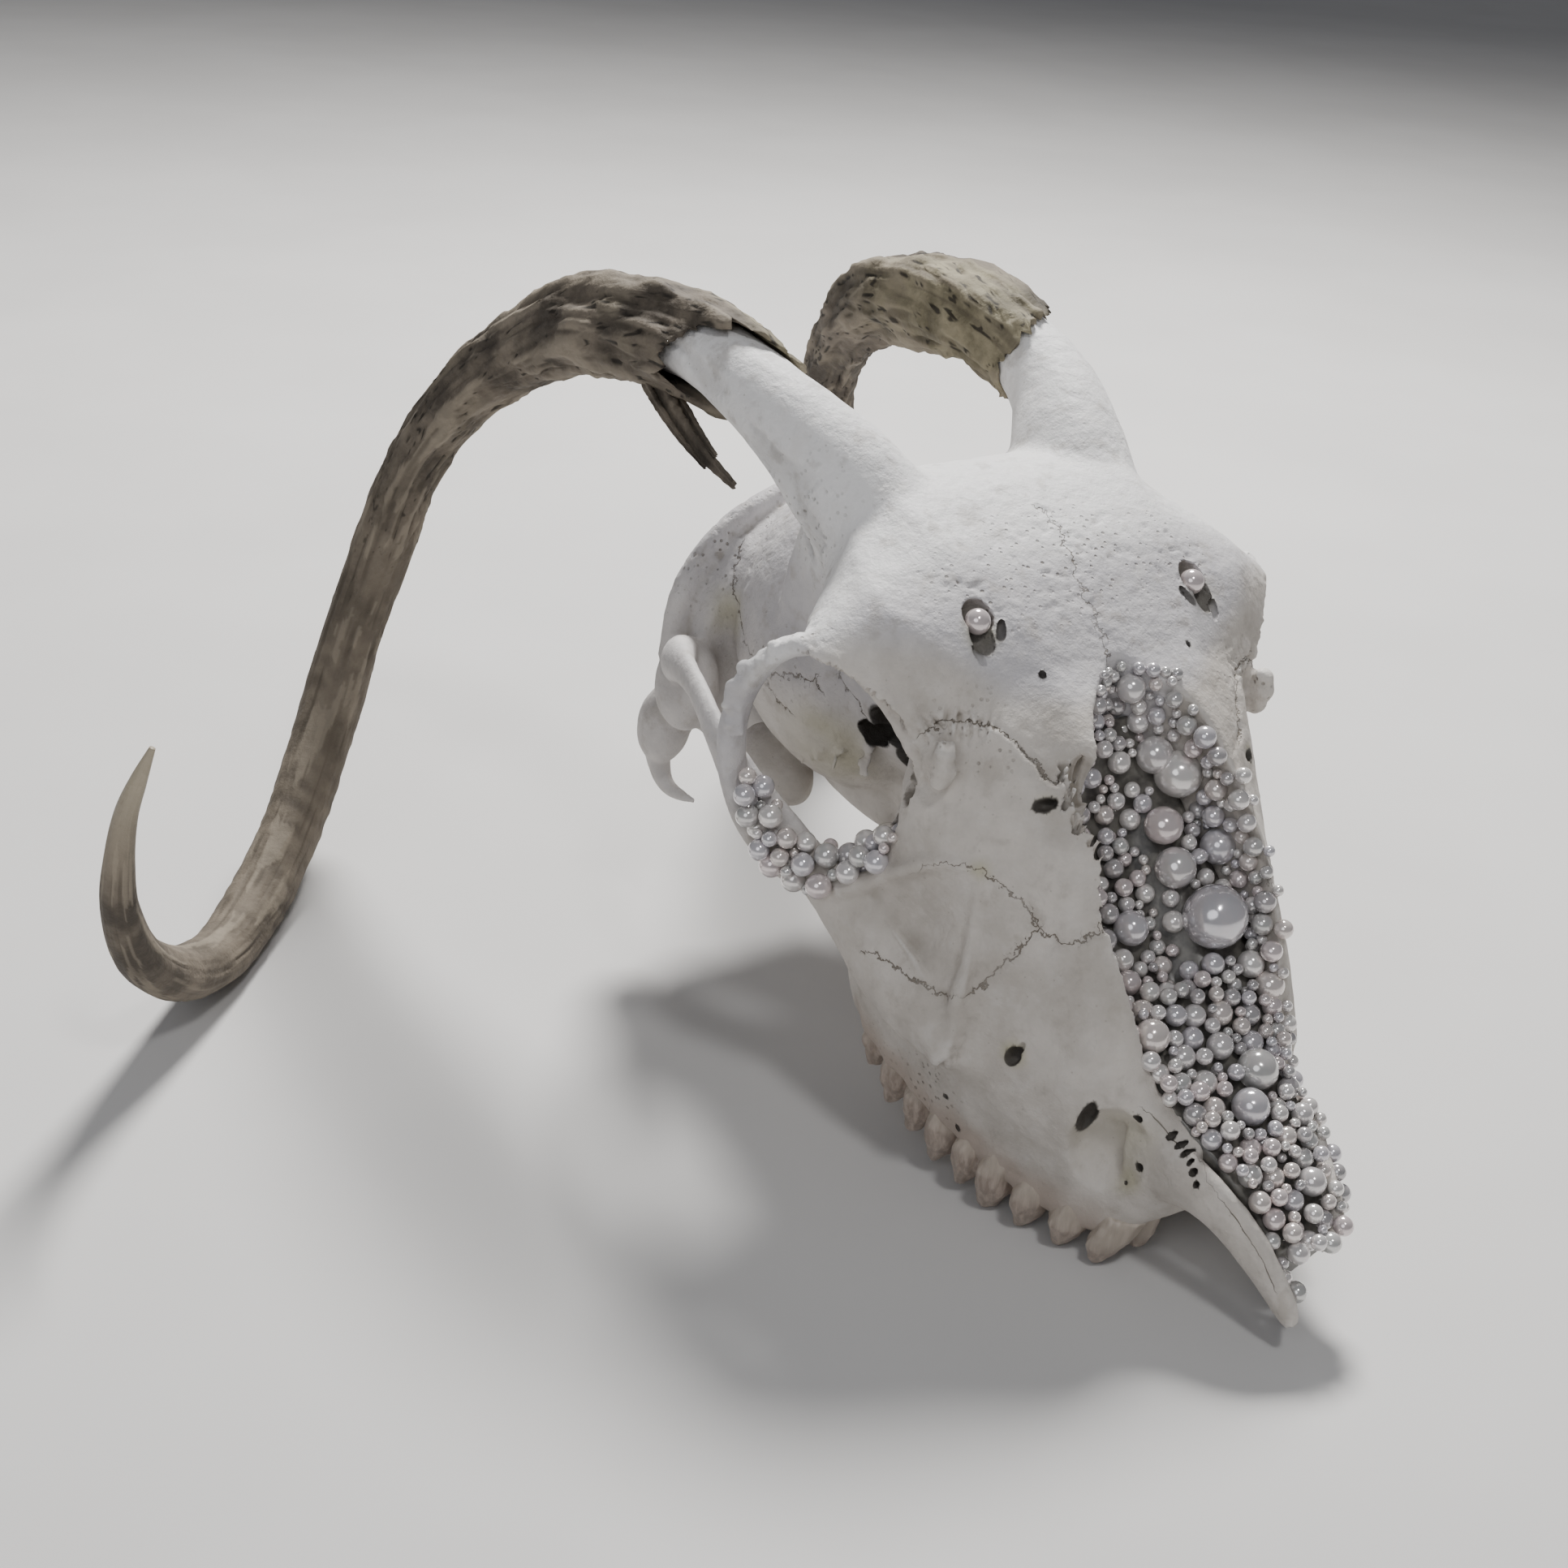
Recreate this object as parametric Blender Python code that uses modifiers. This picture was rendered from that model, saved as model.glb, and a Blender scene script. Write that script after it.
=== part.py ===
# Ram skull with bead filling, life size. Metres, +Z up, nose towards -Y,
# the animal's left is +X. It lies on its front premolars and the two horn bends.
import bpy
import bmesh
import math
import random
import numpy as np
from mathutils import Vector, Matrix, Euler

# Driving sizes in millimetres, in the frame of the skull:
# x to the side, y from nose to nape, z up from the chewing plane.
PITCH_DEG = 14.5
GAP = 0.32
VOXEL_BODY = 1.3
VOXEL_FINE = 1.05
TRI_SKULL = 7000
# Height of the front tooth tip over the floor, and the clear gap round what lies in the skull.
FLAT = -0.3
CLEAR = 0.75

# Face sections: y, then half width and height at five places, then floor height.
FACE = (
    (62.0, (14.5, 42.0), (16.0, 40.0), (17.0, 35.0), (16.5, 28.0), (13.0, 23.0), 23.0),
    (70.0, (16.5, 44.5), (19.0, 41.5), (21.5, 36.0), (22.0, 24.0), (22.5, 12.0), 14.0),
    (77.5, (19.5, 49.0), (23.0, 46.5), (26.5, 41.0), (27.0, 28.0), (26.5, 9.5), 9.0),
    (85.0, (21.0, 60.0), (26.0, 53.5), (30.0, 45.0), (31.0, 30.0), (29.5, 9.0), 8.0),
    (98.0, (20.5, 77.0), (27.0, 66.0), (32.0, 51.0), (36.5, 33.0), (33.5, 9.0), 7.0),
    (110.0, (18.5, 88.0), (28.0, 78.0), (35.0, 62.0), (42.5, 36.0), (36.0, 10.0), 7.0),
    (121.0, (16.0, 97.0), (29.0, 89.0), (38.0, 74.0), (44.5, 41.0), (37.5, 11.0), 8.0),
    (136.0, (17.0, 104.0), (33.0, 99.0), (43.0, 80.0), (47.0, 44.0), (38.0, 12.0), 10.0),
    (149.0, (24.0, 110.0), (35.0, 99.0), (38.0, 78.0), (44.0, 44.0), (35.0, 16.0), 16.0),
)
# Forehead sections, the same way.
BROW = (
    (130.0, (13.0, 98.0), (21.0, 94.0), (26.0, 86.0), (25.0, 70.0), (20.0, 58.0), 56.0),
    (138.0, (16.0, 105.0), (33.0, 101.0), (43.0, 91.0), (33.0, 74.0), (22.0, 58.0), 50.0),
    (150.0, (22.0, 111.5), (42.0, 109.0), (54.5, 99.5), (38.0, 91.0), (20.0, 60.0), 42.0),
    (160.0, (26.0, 115.5), (46.0, 111.0), (61.0, 101.0), (39.0, 92.0), (18.5, 60.0), 38.0),
    (170.0, (28.0, 118.0), (43.0, 112.0), (54.0, 99.0), (33.0, 88.0), (19.0, 58.0), 36.0),
    (182.0, (29.0, 119.0), (39.0, 112.0), (42.0, 100.0), (30.0, 84.0), (24.0, 56.0), 34.0),
    (194.0, (23.0, 116.0), (34.0, 113.0), (37.0, 102.0), (32.0, 82.0), (28.0, 56.0), 32.0),
    (207.0, (18.0, 106.0), (27.0, 106.0), (32.0, 96.0), (33.0, 80.0), (30.0, 56.0), 32.0),
)
# Nasal opening cut: y, half width at the rim, half width inside, floor height.
NASAL = (
    (137.5, 1.5, 1.5, 97.0),
    (133.0, 7.0, 7.0, 85.0),
    (126.0, 12.5, 13.0, 72.0),
    (118.0, 14.6, 17.0, 62.0),
    (110.0, 17.0, 20.0, 55.0),
    (100.0, 19.0, 22.0, 49.0),
    (86.0, 19.3, 20.5, 41.0),
    (77.0, 17.6, 18.0, 36.0),
    (70.0, 14.8, 15.0, 33.0),
    (60.0, 12.6, 12.6, 30.0),
    (52.0, 12.6, 12.6, 30.0),
)
# Premaxilla bar: centre x, y, z, half height, half thickness.
PREMAX = (
    (17.5, 74.0, 32.0, 9.0, 3.6),
    (16.2, 66.0, 34.5, 8.2, 3.2),
    (15.0, 60.0, 35.5, 6.8, 2.9),
    (13.0, 53.0, 34.8, 5.6, 2.7),
    (11.3, 47.5, 33.0, 4.9, 2.5),
    (9.6, 42.0, 30.0, 4.3, 2.3),
    (8.5, 37.0, 27.0, 3.6, 2.1),
    (7.6, 33.5, 24.4, 2.8, 1.8),
    (7.2, 31.2, 22.4, 1.6, 1.2),
)
# Cheek bar from the facial tuber below the orbit to the ear region.
CHEEK = (
    (39.5, 108.0, 35.5, 5.5, 4.0),
    (43.0, 118.0, 37.5, 9.0, 4.0),
    (45.0, 130.0, 41.5, 10.5, 4.2),
    (46.8, 141.0, 45.5, 8.5, 4.2),
    (50.5, 152.0, 49.5, 5.6, 3.6),
    (55.5, 163.0, 55.0, 5.6, 3.3),
    (58.8, 174.0, 60.0, 5.6, 2.7),
    (57.0, 187.0, 61.0, 4.0, 2.0),
    (53.0, 200.0, 59.5, 3.4, 1.9),
    (49.3, 212.0, 56.5, 3.8, 2.4),
    (43.5, 224.0, 50.0, 5.5, 4.0),
    (37.0, 229.0, 44.0, 6.0, 4.0),
)
# Orbit rim: an ellipse by its centre and two half axes, drawn out forwards and upwards.
ORBIT_CENTRE = Vector((52.2, 156.0, 71.5))
ORBIT_ALONG = Vector((11.0, 15.2, -3.6))
ORBIT_UP = Vector((4.0, 4.4, 26.0))
ORBIT_FORE = 0.27
ORBIT_HIGH = 0.14
ORBIT_TUBE = 3.3
# Notch that breaks the right margin of the nasal opening: x, y, z, radius.
NOTCH = (
    (-19.0, 119.0, 92.0, 4.6),
    (-20.0, 115.5, 88.5, 3.8),
    (-19.5, 111.5, 85.5, 3.2),
    (-18.8, 108.5, 83.0, 2.4),
)
# Hooked process below the ear region: x, y, z, half width, half thickness.
HOOK = (
    (35.5, 236.0, 23.0, 4.6, 6.2),
    (35.5, 236.3, 14.0, 3.4, 4.2),
    (35.0, 233.6, 7.6, 2.6, 3.1),
    (34.5, 229.4, 5.2, 2.0, 2.2),
    (33.8, 224.4, 6.2, 1.4, 1.5),
    (33.0, 219.6, 8.2, 0.7, 0.8),
)
# Horn path of the right side, mirrored for the left: x, y, z, radius.
HORN = (
    (36.5, 211.0, 119.0, 11.4),
    (39.5, 224.0, 121.0, 11.4),
    (41.4, 241.0, 120.0, 11.4),
    (43.8, 263.2, 112.9, 11.4),
    (46.4, 283.1, 102.8, 11.3),
    (50.0, 299.1, 88.3, 9.8),
    (54.6, 311.6, 74.6, 8.6),
    (59.4, 321.6, 56.6, 7.8),
    (64.1, 326.7, 39.1, 7.7),
    (68.3, 326.9, 22.4, 7.8),
    (73.3, 324.3, 8.4, 7.9),
    (79.4, 319.4, -3.9, 8.0),
    (86.2, 311.5, -15.3, 8.0),
    (94.6, 300.6, -25.3, 8.0),
    (104.7, 287.5, -32.7, 7.9),
    (115.4, 274.1, -36.6, 7.8),
    (127.6, 259.7, -37.0, 7.6),
    (140.3, 244.7, -32.6, 7.2),
    (154.9, 230.7, -21.5, 6.6),
    (167.9, 220.7, -2.8, 5.4),
    (173.9, 216.4, 16.5, 4.2),
    (174.8, 215.1, 31.3, 3.4),
    (173.8, 214.9, 43.1, 2.7),
    (171.5, 214.9, 51.5, 2.0),
    (168.7, 215.3, 59.0, 0.9),
)
# Bone core inside each horn: x, y, z, radius.
CORE = (
    (24.0, 176.0, 100.0, 15.0),
    (26.5, 188.0, 107.0, 14.0),
    (31.0, 199.0, 113.5, 12.6),
    (36.0, 210.0, 118.3, 10.3),
    (39.3, 224.0, 120.6, 8.9),
    (41.4, 241.0, 120.0, 8.1),
    (43.6, 258.0, 114.8, 7.0),
    (45.2, 268.0, 110.4, 5.0),
)
# Peeled strip of horn that hangs below the sheath edge: x, y, z, half width, half thickness.
FLAP = (
    (47.0, 254.0, 108.5, 2.8, 1.5),
    (47.2, 245.0, 106.5, 2.6, 1.2),
    (47.2, 235.0, 104.5, 2.2, 1.0),
    (46.6, 224.0, 102.6, 1.9, 0.8),
    (46.0, 214.0, 102.5, 1.0, 0.6),
)
# How much closer to the middle the far horn stands, by y.
LEFT_NEAR = ((190.0, 212.0, 240.0, 300.0, 327.0), (0.0, 3.5, 7.5, 5.5, 1.0))
HORN_SIDES = 12
HORN_RINGS = 40
SHEATH_START = 0.035
# Cheek teeth: y of each cusp, x of the cusp, height of the point, length of its pillar.
CUSPS = (
    (69.1, 21.8, 4.4, 7.6),
    (77.0, 25.4, 2.6, 8.0),
    (85.6, 28.6, 0.6, 8.2),
    (93.8, 31.6, -1.7, 8.0),
    (100.9, 32.9, -1.4, 7.6),
    (109.0, 34.3, -2.0, 8.4),
    (117.4, 34.7, -1.6, 8.4),
    (126.2, 34.9, -1.2, 8.8),
    (135.2, 33.9, 1.0, 8.6),
)
CROWN_ROOT_Z = 15.0
# Bead bed in the nose: y, height of its top at the middle.
BED = (
    (134.0, 92.0),
    (128.0, 85.0),
    (120.0, 78.0),
    (110.0, 70.0),
    (100.0, 63.0),
    (90.0, 57.0),
    (80.0, 50.5),
    (70.0, 46.0),
    (60.0, 43.0),
    (50.0, 38.5),
    (42.0, 33.0),
)
BEAD_SEED = 41
BEADS_NOSE = 54
BEADS_ORBIT = 12
BIG_BEADS = (
    (5.0, 97.0, 66.0, 7.2),
    (-5.0, 121.0, 82.0, 4.5),
    (-6.5, 108.0, 72.5, 4.1),
    (0.0, 106.0, 70.0, 4.3),
    (8.0, 112.0, 74.5, 4.1),
    (-11.0, 84.0, 53.5, 4.4),
    (6.0, 58.0, 44.5, 4.5),
)


def clear_all():
    for obj in list(bpy.data.objects):
        bpy.data.objects.remove(obj, do_unlink=True)
    for coll in list(bpy.data.collections):
        bpy.data.collections.remove(coll)
    for mesh in list(bpy.data.meshes):
        bpy.data.meshes.remove(mesh)
    for mat in list(bpy.data.materials):
        bpy.data.materials.remove(mat)


def add_mesh(name, mesh):
    obj = bpy.data.objects.new(name, mesh)
    bpy.context.scene.collection.objects.link(obj)
    return obj


def ball(centre, radii, rot=(0.0, 0.0, 0.0), seg=28, rings=18):
    bm = bmesh.new()
    bmesh.ops.create_uvsphere(bm, u_segments=seg, v_segments=rings, radius=1.0)
    turn = Euler([math.radians(a) for a in rot]).to_matrix().to_4x4()
    move = Matrix.Translation(centre) @ turn @ Matrix.Diagonal((*radii, 1.0))
    bmesh.ops.transform(bm, matrix=move, verts=bm.verts)
    mesh = bpy.data.meshes.new("ball")
    bm.to_mesh(mesh)
    bm.free()
    return add_mesh("ball", mesh)


def smooth_rows(rows, count):
    """Catmull-Rom values between rows, evenly in the row number."""
    pts = np.array(rows, dtype=float)
    last = len(pts) - 1
    out = []
    for k in range(count):
        t = k * last / (count - 1)
        i = min(int(t), last - 1)
        u = t - i
        p0 = pts[max(i - 1, 0)]
        p1 = pts[i]
        p2 = pts[i + 1]
        p3 = pts[min(i + 2, last)]
        a = 2.0 * p1
        b = p2 - p0
        c = 2.0 * p0 - 5.0 * p1 + 4.0 * p2 - p3
        d = 3.0 * p1 - p0 - 3.0 * p2 + p3
        out.append(0.5 * (a + b * u + c * u * u + d * u ** 3))
    return np.array(out)


def loft(name, rings):
    """Closed body through rings that have the same number of points."""
    bm = bmesh.new()
    rows = [[bm.verts.new(p) for p in ring] for ring in rings]
    n = len(rows[0])
    for a, b in zip(rows, rows[1:]):
        for i in range(n):
            j = (i + 1) % n
            bm.faces.new((a[i], a[j], b[j], b[i]))
    bm.faces.new(list(reversed(rows[0])))
    bm.faces.new(rows[-1])
    bmesh.ops.triangulate(bm, faces=[f for f in bm.faces if len(f.verts) > 4])
    bmesh.ops.recalc_face_normals(bm, faces=bm.faces)
    mesh = bpy.data.meshes.new(name)
    bm.to_mesh(mesh)
    bm.free()
    return add_mesh(name, mesh)


def section_rows(table, count):
    flat = [[r[0]] + [v for pair in r[1:6] for v in pair] + [r[6]] for r in table]
    return smooth_rows(flat, count)


def section_loft(name, table, count):
    rings = []
    for row in section_rows(table, count):
        y = row[0]
        side = [(row[1 + 2 * i], row[2 + 2 * i]) for i in range(5)]
        half = [(0.0, side[0][1])] + side + [(0.0, row[11])]
        ring = [(x, y, z) for x, z in half]
        ring += [(-x, y, z) for x, z in reversed(half[1:-1])]
        rings.append(ring)
    return loft(name, rings)


def bar(name, table, side, count=30, around=14, up=Vector((0.0, 0.0, 1.0))):
    """Oval bar along a path: half height and half thickness at each place."""
    rows = smooth_rows(table, count)
    rings = []
    for k in range(count):
        here = Vector(rows[k][:3])
        a = Vector(rows[max(k - 1, 0)][:3])
        b = Vector(rows[min(k + 1, count - 1)][:3])
        along = (b - a).normalized()
        across = along.cross(up).normalized()
        tall = across.cross(along).normalized()
        ring = []
        for i in range(around):
            ang = 2.0 * math.pi * i / around
            p = here + tall * (math.cos(ang) * rows[k][3]) + across * (math.sin(ang) * rows[k][4])
            ring.append((p.x * side, p.y, p.z))
        rings.append(ring)
    return loft(name, rings)


def round_path(table, side, count, around, flat=1.0):
    rows = [(r[0], r[1], r[2], r[3], r[3] * flat) for r in table]
    return bar("path", rows, side, count, around)


def join(objects, name):
    bpy.ops.object.select_all(action="DESELECT")
    for obj in objects:
        obj.select_set(True)
    bpy.context.view_layer.objects.active = objects[0]
    bpy.ops.object.join()
    objects[0].name = name
    return objects[0]


def bake(obj):
    """Apply all modifiers of an object to its mesh."""
    dep = bpy.context.evaluated_depsgraph_get()
    mesh = bpy.data.meshes.new_from_object(obj.evaluated_get(dep))
    old = obj.data
    obj.modifiers.clear()
    obj.data = mesh
    bpy.data.meshes.remove(old)
    return obj


def voxel(obj, size, passes, factor=0.5):
    mod = obj.modifiers.new("skin", "REMESH")
    mod.mode = "VOXEL"
    mod.voxel_size = size
    soft = obj.modifiers.new("soft", "SMOOTH")
    soft.factor = factor
    soft.iterations = passes
    return bake(obj)


def boolean(obj, cutters, operation, solver="MANIFOLD"):
    coll = bpy.data.collections.new("tools")
    bpy.context.scene.collection.children.link(coll)
    for cutter in cutters:
        for home in list(cutter.users_collection):
            home.objects.unlink(cutter)
        coll.objects.link(cutter)
        cutter.hide_render = True
        cutter.display_type = "WIRE"
    mod = obj.modifiers.new("cut", "BOOLEAN")
    mod.operation = operation
    mod.operand_type = "COLLECTION"
    mod.collection = coll
    mod.solver = solver
    bake(obj)
    for cutter in cutters:
        bpy.data.objects.remove(cutter, do_unlink=True)
    bpy.data.collections.remove(coll)
    return obj


def islands(bm):
    bm.verts.ensure_lookup_table()
    seen = set()
    out = []
    for v in bm.verts:
        if v.index in seen:
            continue
        stack = [v]
        seen.add(v.index)
        group = []
        while stack:
            w = stack.pop()
            group.append(w)
            for e in w.link_edges:
                o = e.other_vert(w)
                if o.index not in seen:
                    seen.add(o.index)
                    stack.append(o)
        out.append(group)
    return out


def box_size(verts):
    pts = np.array([v.co[:] for v in verts])
    return float(np.prod(np.ptp(pts, axis=0) + 1e-6))


def keep_largest(obj):
    bm = bmesh.new()
    bm.from_mesh(obj.data)
    bmesh.ops.remove_doubles(bm, verts=bm.verts, dist=0.00005)
    groups = sorted(islands(bm), key=box_size, reverse=True)
    for group in groups[1:]:
        bmesh.ops.delete(bm, geom=group, context="VERTS")
    bmesh.ops.triangulate(bm, faces=bm.faces)
    bm.to_mesh(obj.data)
    bm.free()
    return obj


def decimate(obj, tris):
    now = sum(len(p.vertices) - 2 for p in obj.data.polygons)
    if now > tris:
        mod = obj.modifiers.new("fewer", "DECIMATE")
        mod.ratio = tris / now
        mod.use_collapse_triangulate = True
        bake(obj)
    return obj


def prism(points, axis_from, axis_to, axis):
    """Straight body on an outline given in the two other axes."""
    rings = []
    for value in (axis_from, axis_to):
        ring = []
        for a, b in points:
            p = [a, b]
            p.insert(axis, value)
            ring.append(tuple(p))
        rings.append(ring)
    return loft("prism", rings)


def nasal_cut():
    rings = []
    for y, rim, inner, floor in smooth_rows(NASAL, 26):
        top = 140.0
        mid = floor + (top - floor) * 0.28
        half = [(rim, top), (rim, mid + 14.0), (inner, mid), (inner * 0.8, floor), (0.0, floor - 1.0)]
        ring = [(x, y, z) for x, z in half]
        ring += [(-x, y, z) for x, z in reversed(half[:-1])]
        rings.append(ring)
    return loft("nasal", rings)


def rim_rows(start=0.0, stop=360.0, count=33, scale=1.0):
    out = []
    for k in range(count):
        ang = math.radians(start + (stop - start) * k / (count - 1))
        fore = 1.0 + ORBIT_FORE * max(0.0, -math.cos(ang)) ** 2
        high = 1.0 + ORBIT_HIGH * max(0.0, math.sin(ang)) ** 2
        p = ORBIT_CENTRE + (ORBIT_ALONG * math.cos(ang) * fore + ORBIT_UP * math.sin(ang) * high) * scale
        out.append((p, ang))
    return out


def orbit_rim(side):
    rings = []
    normal = ORBIT_ALONG.cross(ORBIT_UP).normalized()
    for p, ang in rim_rows():
        out = (p - ORBIT_CENTRE).normalized()
        thin = 1.0 - 0.5 * max(0.0, math.cos(ang - math.radians(120.0))) ** 2
        ring = []
        for i in range(12):
            a = 2.0 * math.pi * i / 12
            q = p + out * (math.cos(a) * ORBIT_TUBE * 0.85 * thin)
            q = q + normal * (math.sin(a) * ORBIT_TUBE * 1.25 * thin)
            ring.append((q.x * side, q.y, q.z))
        rings.append(ring)
    return loft("rim", rings)


def skull_body():
    parts = [section_loft("face", FACE, 34), section_loft("brow", BROW, 32)]
    parts.append(ball((0.0, 207.0, 61.0), (33.5, 38.0, 36.5)))
    half = [(0.0, 79.0), (13.0, 78.0), (25.0, 71.5), (33.0, 60.0), (36.5, 44.0), (34.5, 26.0),
            (22.0, 15.0), (0.0, 13.0)]
    plate = half + [(-x, z) for x, z in reversed(half[1:-1])]
    parts.append(prism(plate, 228.0, 242.0, 1))
    parts.append(ball((0.0, 206.0, 31.0), (13.5, 40.0, 11.0)))
    parts.append(ball((0.0, 170.0, 44.0), (11.5, 26.0, 16.0)))
    for s in (-1.0, 1.0):
        parts.append(round_path(core_rows(s), s, 24, 18))
        parts.append(ball((26.0 * s, 141.0, 22.0), (10.5, 11.0, 13.0)))
    body = voxel(join(parts, "body"), VOXEL_BODY, 6)
    cuts = [nasal_cut()]
    for s in (-1.0, 1.0):
        cuts.append(ball((52.0 * s, 163.0, 71.0), (29.0, 22.0, 25.5)))
        cuts.append(ball((56.0 * s, 172.0, 62.0), (28.0, 26.0, 30.0)))
        cuts.append(ball((52.0 * s, 152.0, 72.0), (14.0, 16.5, 19.0)))
        cuts.append(ball((54.5 * s, 156.0, 84.0), (16.0, 15.0, 16.0)))
    cuts.append(ball((0.0, 98.0, 3.0), (21.0, 42.0, 13.0)))
    cuts.append(ball((0.0, 147.0, 16.0), (10.5, 24.0, 14.0)))
    boolean(body, cuts, "DIFFERENCE")
    more = [body]
    crest = ((37.0, 236.0, 40.0, 3.2), (34.8, 239.0, 58.0, 3.2), (25.5, 241.0, 71.0, 3.0),
             (11.0, 242.5, 78.0, 3.0), (0.0, 243.0, 79.0, 3.0))
    for s in (-1.0, 1.0):
        more.append(bar("cheek", CHEEK, s, 36))
        more.append(bar("premax", PREMAX, s, 24))
        more.append(orbit_rim(s))
        more.append(ball((42.3 * s, 134.6, 89.6), (4.4, 5.2, 5.6)))
        more.append(round_path(crest, s, 20, 12))
        more.append(ball((12.5 * s, 242.0, 27.0), (8.0, 7.5, 10.0), (15.0, 0.0, 0.0)))
        more.append(ball((35.5 * s, 235.0, 21.0), (6.0, 7.5, 12.0), (10.0, 0.0, 0.0)))
        more.append(ball((36.5 * s, 228.0, 38.0), (7.0, 9.0, 12.0)))
        more.append(ball((19.0 * s, 210.0, 24.0), (7.5, 12.0, 7.5), (8.0, 0.0, 0.0)))
        more.append(ball((10.0 * s, 232.0, 27.0), (9.0, 10.0, 12.0)))
        more.append(bar("hook", HOOK, s, 22, 12, Vector((1.0, 0.0, 0.0))))
        more.append(ball((12.5 * s, 158.0, 27.0), (2.4, 21.0, 13.0), (-6.0, 0.0, 0.0)))
    body = voxel(join(more, "body"), VOXEL_FINE, 5)
    return body


def face_holes():
    cuts = [ball((0.0, 250.0, 36.0), (9.0, 22.0, 8.0))]
    for s in (-1.0, 1.0):
        cuts.append(ball((27.7 * s, 151.8, 109.5), (3.1, 3.4, 3.6), seg=14, rings=9))
        cuts.append(ball((28.6 * s, 144.5, 108.5), (2.0, 6.0, 2.6), seg=12, rings=8))
        cuts.append(ball((35.0 * s, 96.5, 42.0), (3.0, 3.2, 2.4), seg=12, rings=8))
        cuts.append(ball((25.5 * s, 74.0, 33.0), (4.5, 8.5, 8.5), seg=16, rings=10))
    for x, y, z, r in NOTCH:
        cuts.append(ball((x, y, z), (r, r, r * 1.2), seg=12, rings=8))
    return cuts


def cusp(side, y, x, z, length):
    """One pillar of a cheek tooth, wide at its root and pointed on the cheek side."""
    levels = ((CROWN_ROOT_Z, 0.46, 4.6, 0.0), (z + 5.0, 0.46, 4.4, 0.0), (z + 2.2, 0.36, 3.2, 0.9),
              (z, 0.12, 1.1, 1.9))
    rings = []
    for height, part, wide, shift in levels:
        ring = []
        for i in range(8):
            a = 2.0 * math.pi * (i + 0.5) / 8
            px = x - 3.2 + shift + math.cos(a) * wide
            py = y + math.sin(a) * length * part * 1.08
            ring.append((px * side, py, height))
        rings.append(ring)
    return loft("cusp", rings)


def tooth_row(side):
    return [cusp(side, *row) for row in CUSPS]


def left_shift(rows):
    """The far horn stands a little closer to the middle and bends closer in."""
    out = []
    for r in rows:
        far = max(0.0, r[0] - 80.0)
        near = float(np.interp(r[1], LEFT_NEAR[0], LEFT_NEAR[1])) if r[2] > 20.0 else 0.0
        if r[0] > 100.0:
            near = 0.0
        out.append((r[0] - far * 0.52 - near, r[1] + far * 0.20, r[2] - far * 0.05, r[3]))
    return out


def core_rows(side):
    return CORE if side < 0 else left_shift(CORE)


def horn_rings(side, grow=0.0, seed=5):
    table = HORN if side < 0 else left_shift(HORN)
    rows = smooth_rows(table, HORN_RINGS)
    rng = random.Random(seed + int(side))
    wave = [rng.uniform(0.0, 6.28) for _ in range(6)]
    rings = []
    frame = Vector((0.0, 0.0, 1.0))
    for k in range(HORN_RINGS):
        here = Vector(rows[k][:3])
        a = Vector(rows[max(k - 1, 0)][:3])
        b = Vector(rows[min(k + 1, HORN_RINGS - 1)][:3])
        along = (b - a).normalized()
        frame = (frame - along * frame.dot(along)).normalized()
        other = along.cross(frame).normalized()
        u = k / (HORN_RINGS - 1)
        ring = []
        for i in range(HORN_SIDES):
            ang = 2.0 * math.pi * i / HORN_SIDES
            rough = 0.045 * math.sin(3 * ang + wave[0] + 2.0 * u) + 0.03 * math.sin(5 * ang + wave[1])
            rough += 0.035 * math.sin(46.0 * u + wave[2]) * (1.0 - u)
            rad = rows[k][3] * (1.0 + rough * (1.0 - 0.75 * u)) + grow
            p = here + frame * (math.cos(ang) * rad) + other * (math.sin(ang) * rad)
            ring.append((p.x * side, p.y, p.z))
        rings.append(ring)
    return rings


def horn_sheath(side, clear):
    rings = horn_rings(side)
    first = int(SHEATH_START * HORN_RINGS)
    sheath = loft("sheath", rings[first:])
    plan = [(0.0, 150.0), (62.0, 150.0), (62.0, 250.0), (52.0, 240.0), (42.0, 229.0), (30.0, 220.0),
            (0.0, 212.0)]
    edge = prism([(x * side, y) for x, y in plan], 60.0, 160.0, 2)
    boolean(sheath, [edge], "DIFFERENCE")
    boolean(sheath, [bar("flap", FLAP, side, 10, 8)], "UNION")
    boolean(sheath, [copy_of(clear)], "DIFFERENCE")
    return keep_largest(sheath)


def bed_body():
    rows = smooth_rows(BED, 22)
    nose = smooth_rows(NASAL, 60)
    rings = []
    for y, top in rows:
        rim = float(np.interp(-y, -nose[:, 0], nose[:, 1]))
        inner = float(np.interp(-y, -nose[:, 0], nose[:, 2]))
        floor = float(np.interp(-y, -nose[:, 0], nose[:, 3]))
        if y < 62.0:
            inner = float(np.interp(y, (40.0, 50.0, 62.0), (3.6, 7.2, 10.5)))
            floor = float(np.interp(y, (40.0, 50.0, 62.0), (24.0, 28.0, 31.0)))
        wide = inner - 0.6
        half = [(0.0, top), (wide * 0.6, top - 0.8), (wide, top - 2.5), (wide, floor + 3.0),
                (wide * 0.7, floor + 0.6), (0.0, floor + 0.2)]
        ring = [(x, y, z) for x, z in half]
        ring += [(-x, y, z) for x, z in reversed(half[1:-1])]
        rings.append(ring)
    return loft("bed", rings)


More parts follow.
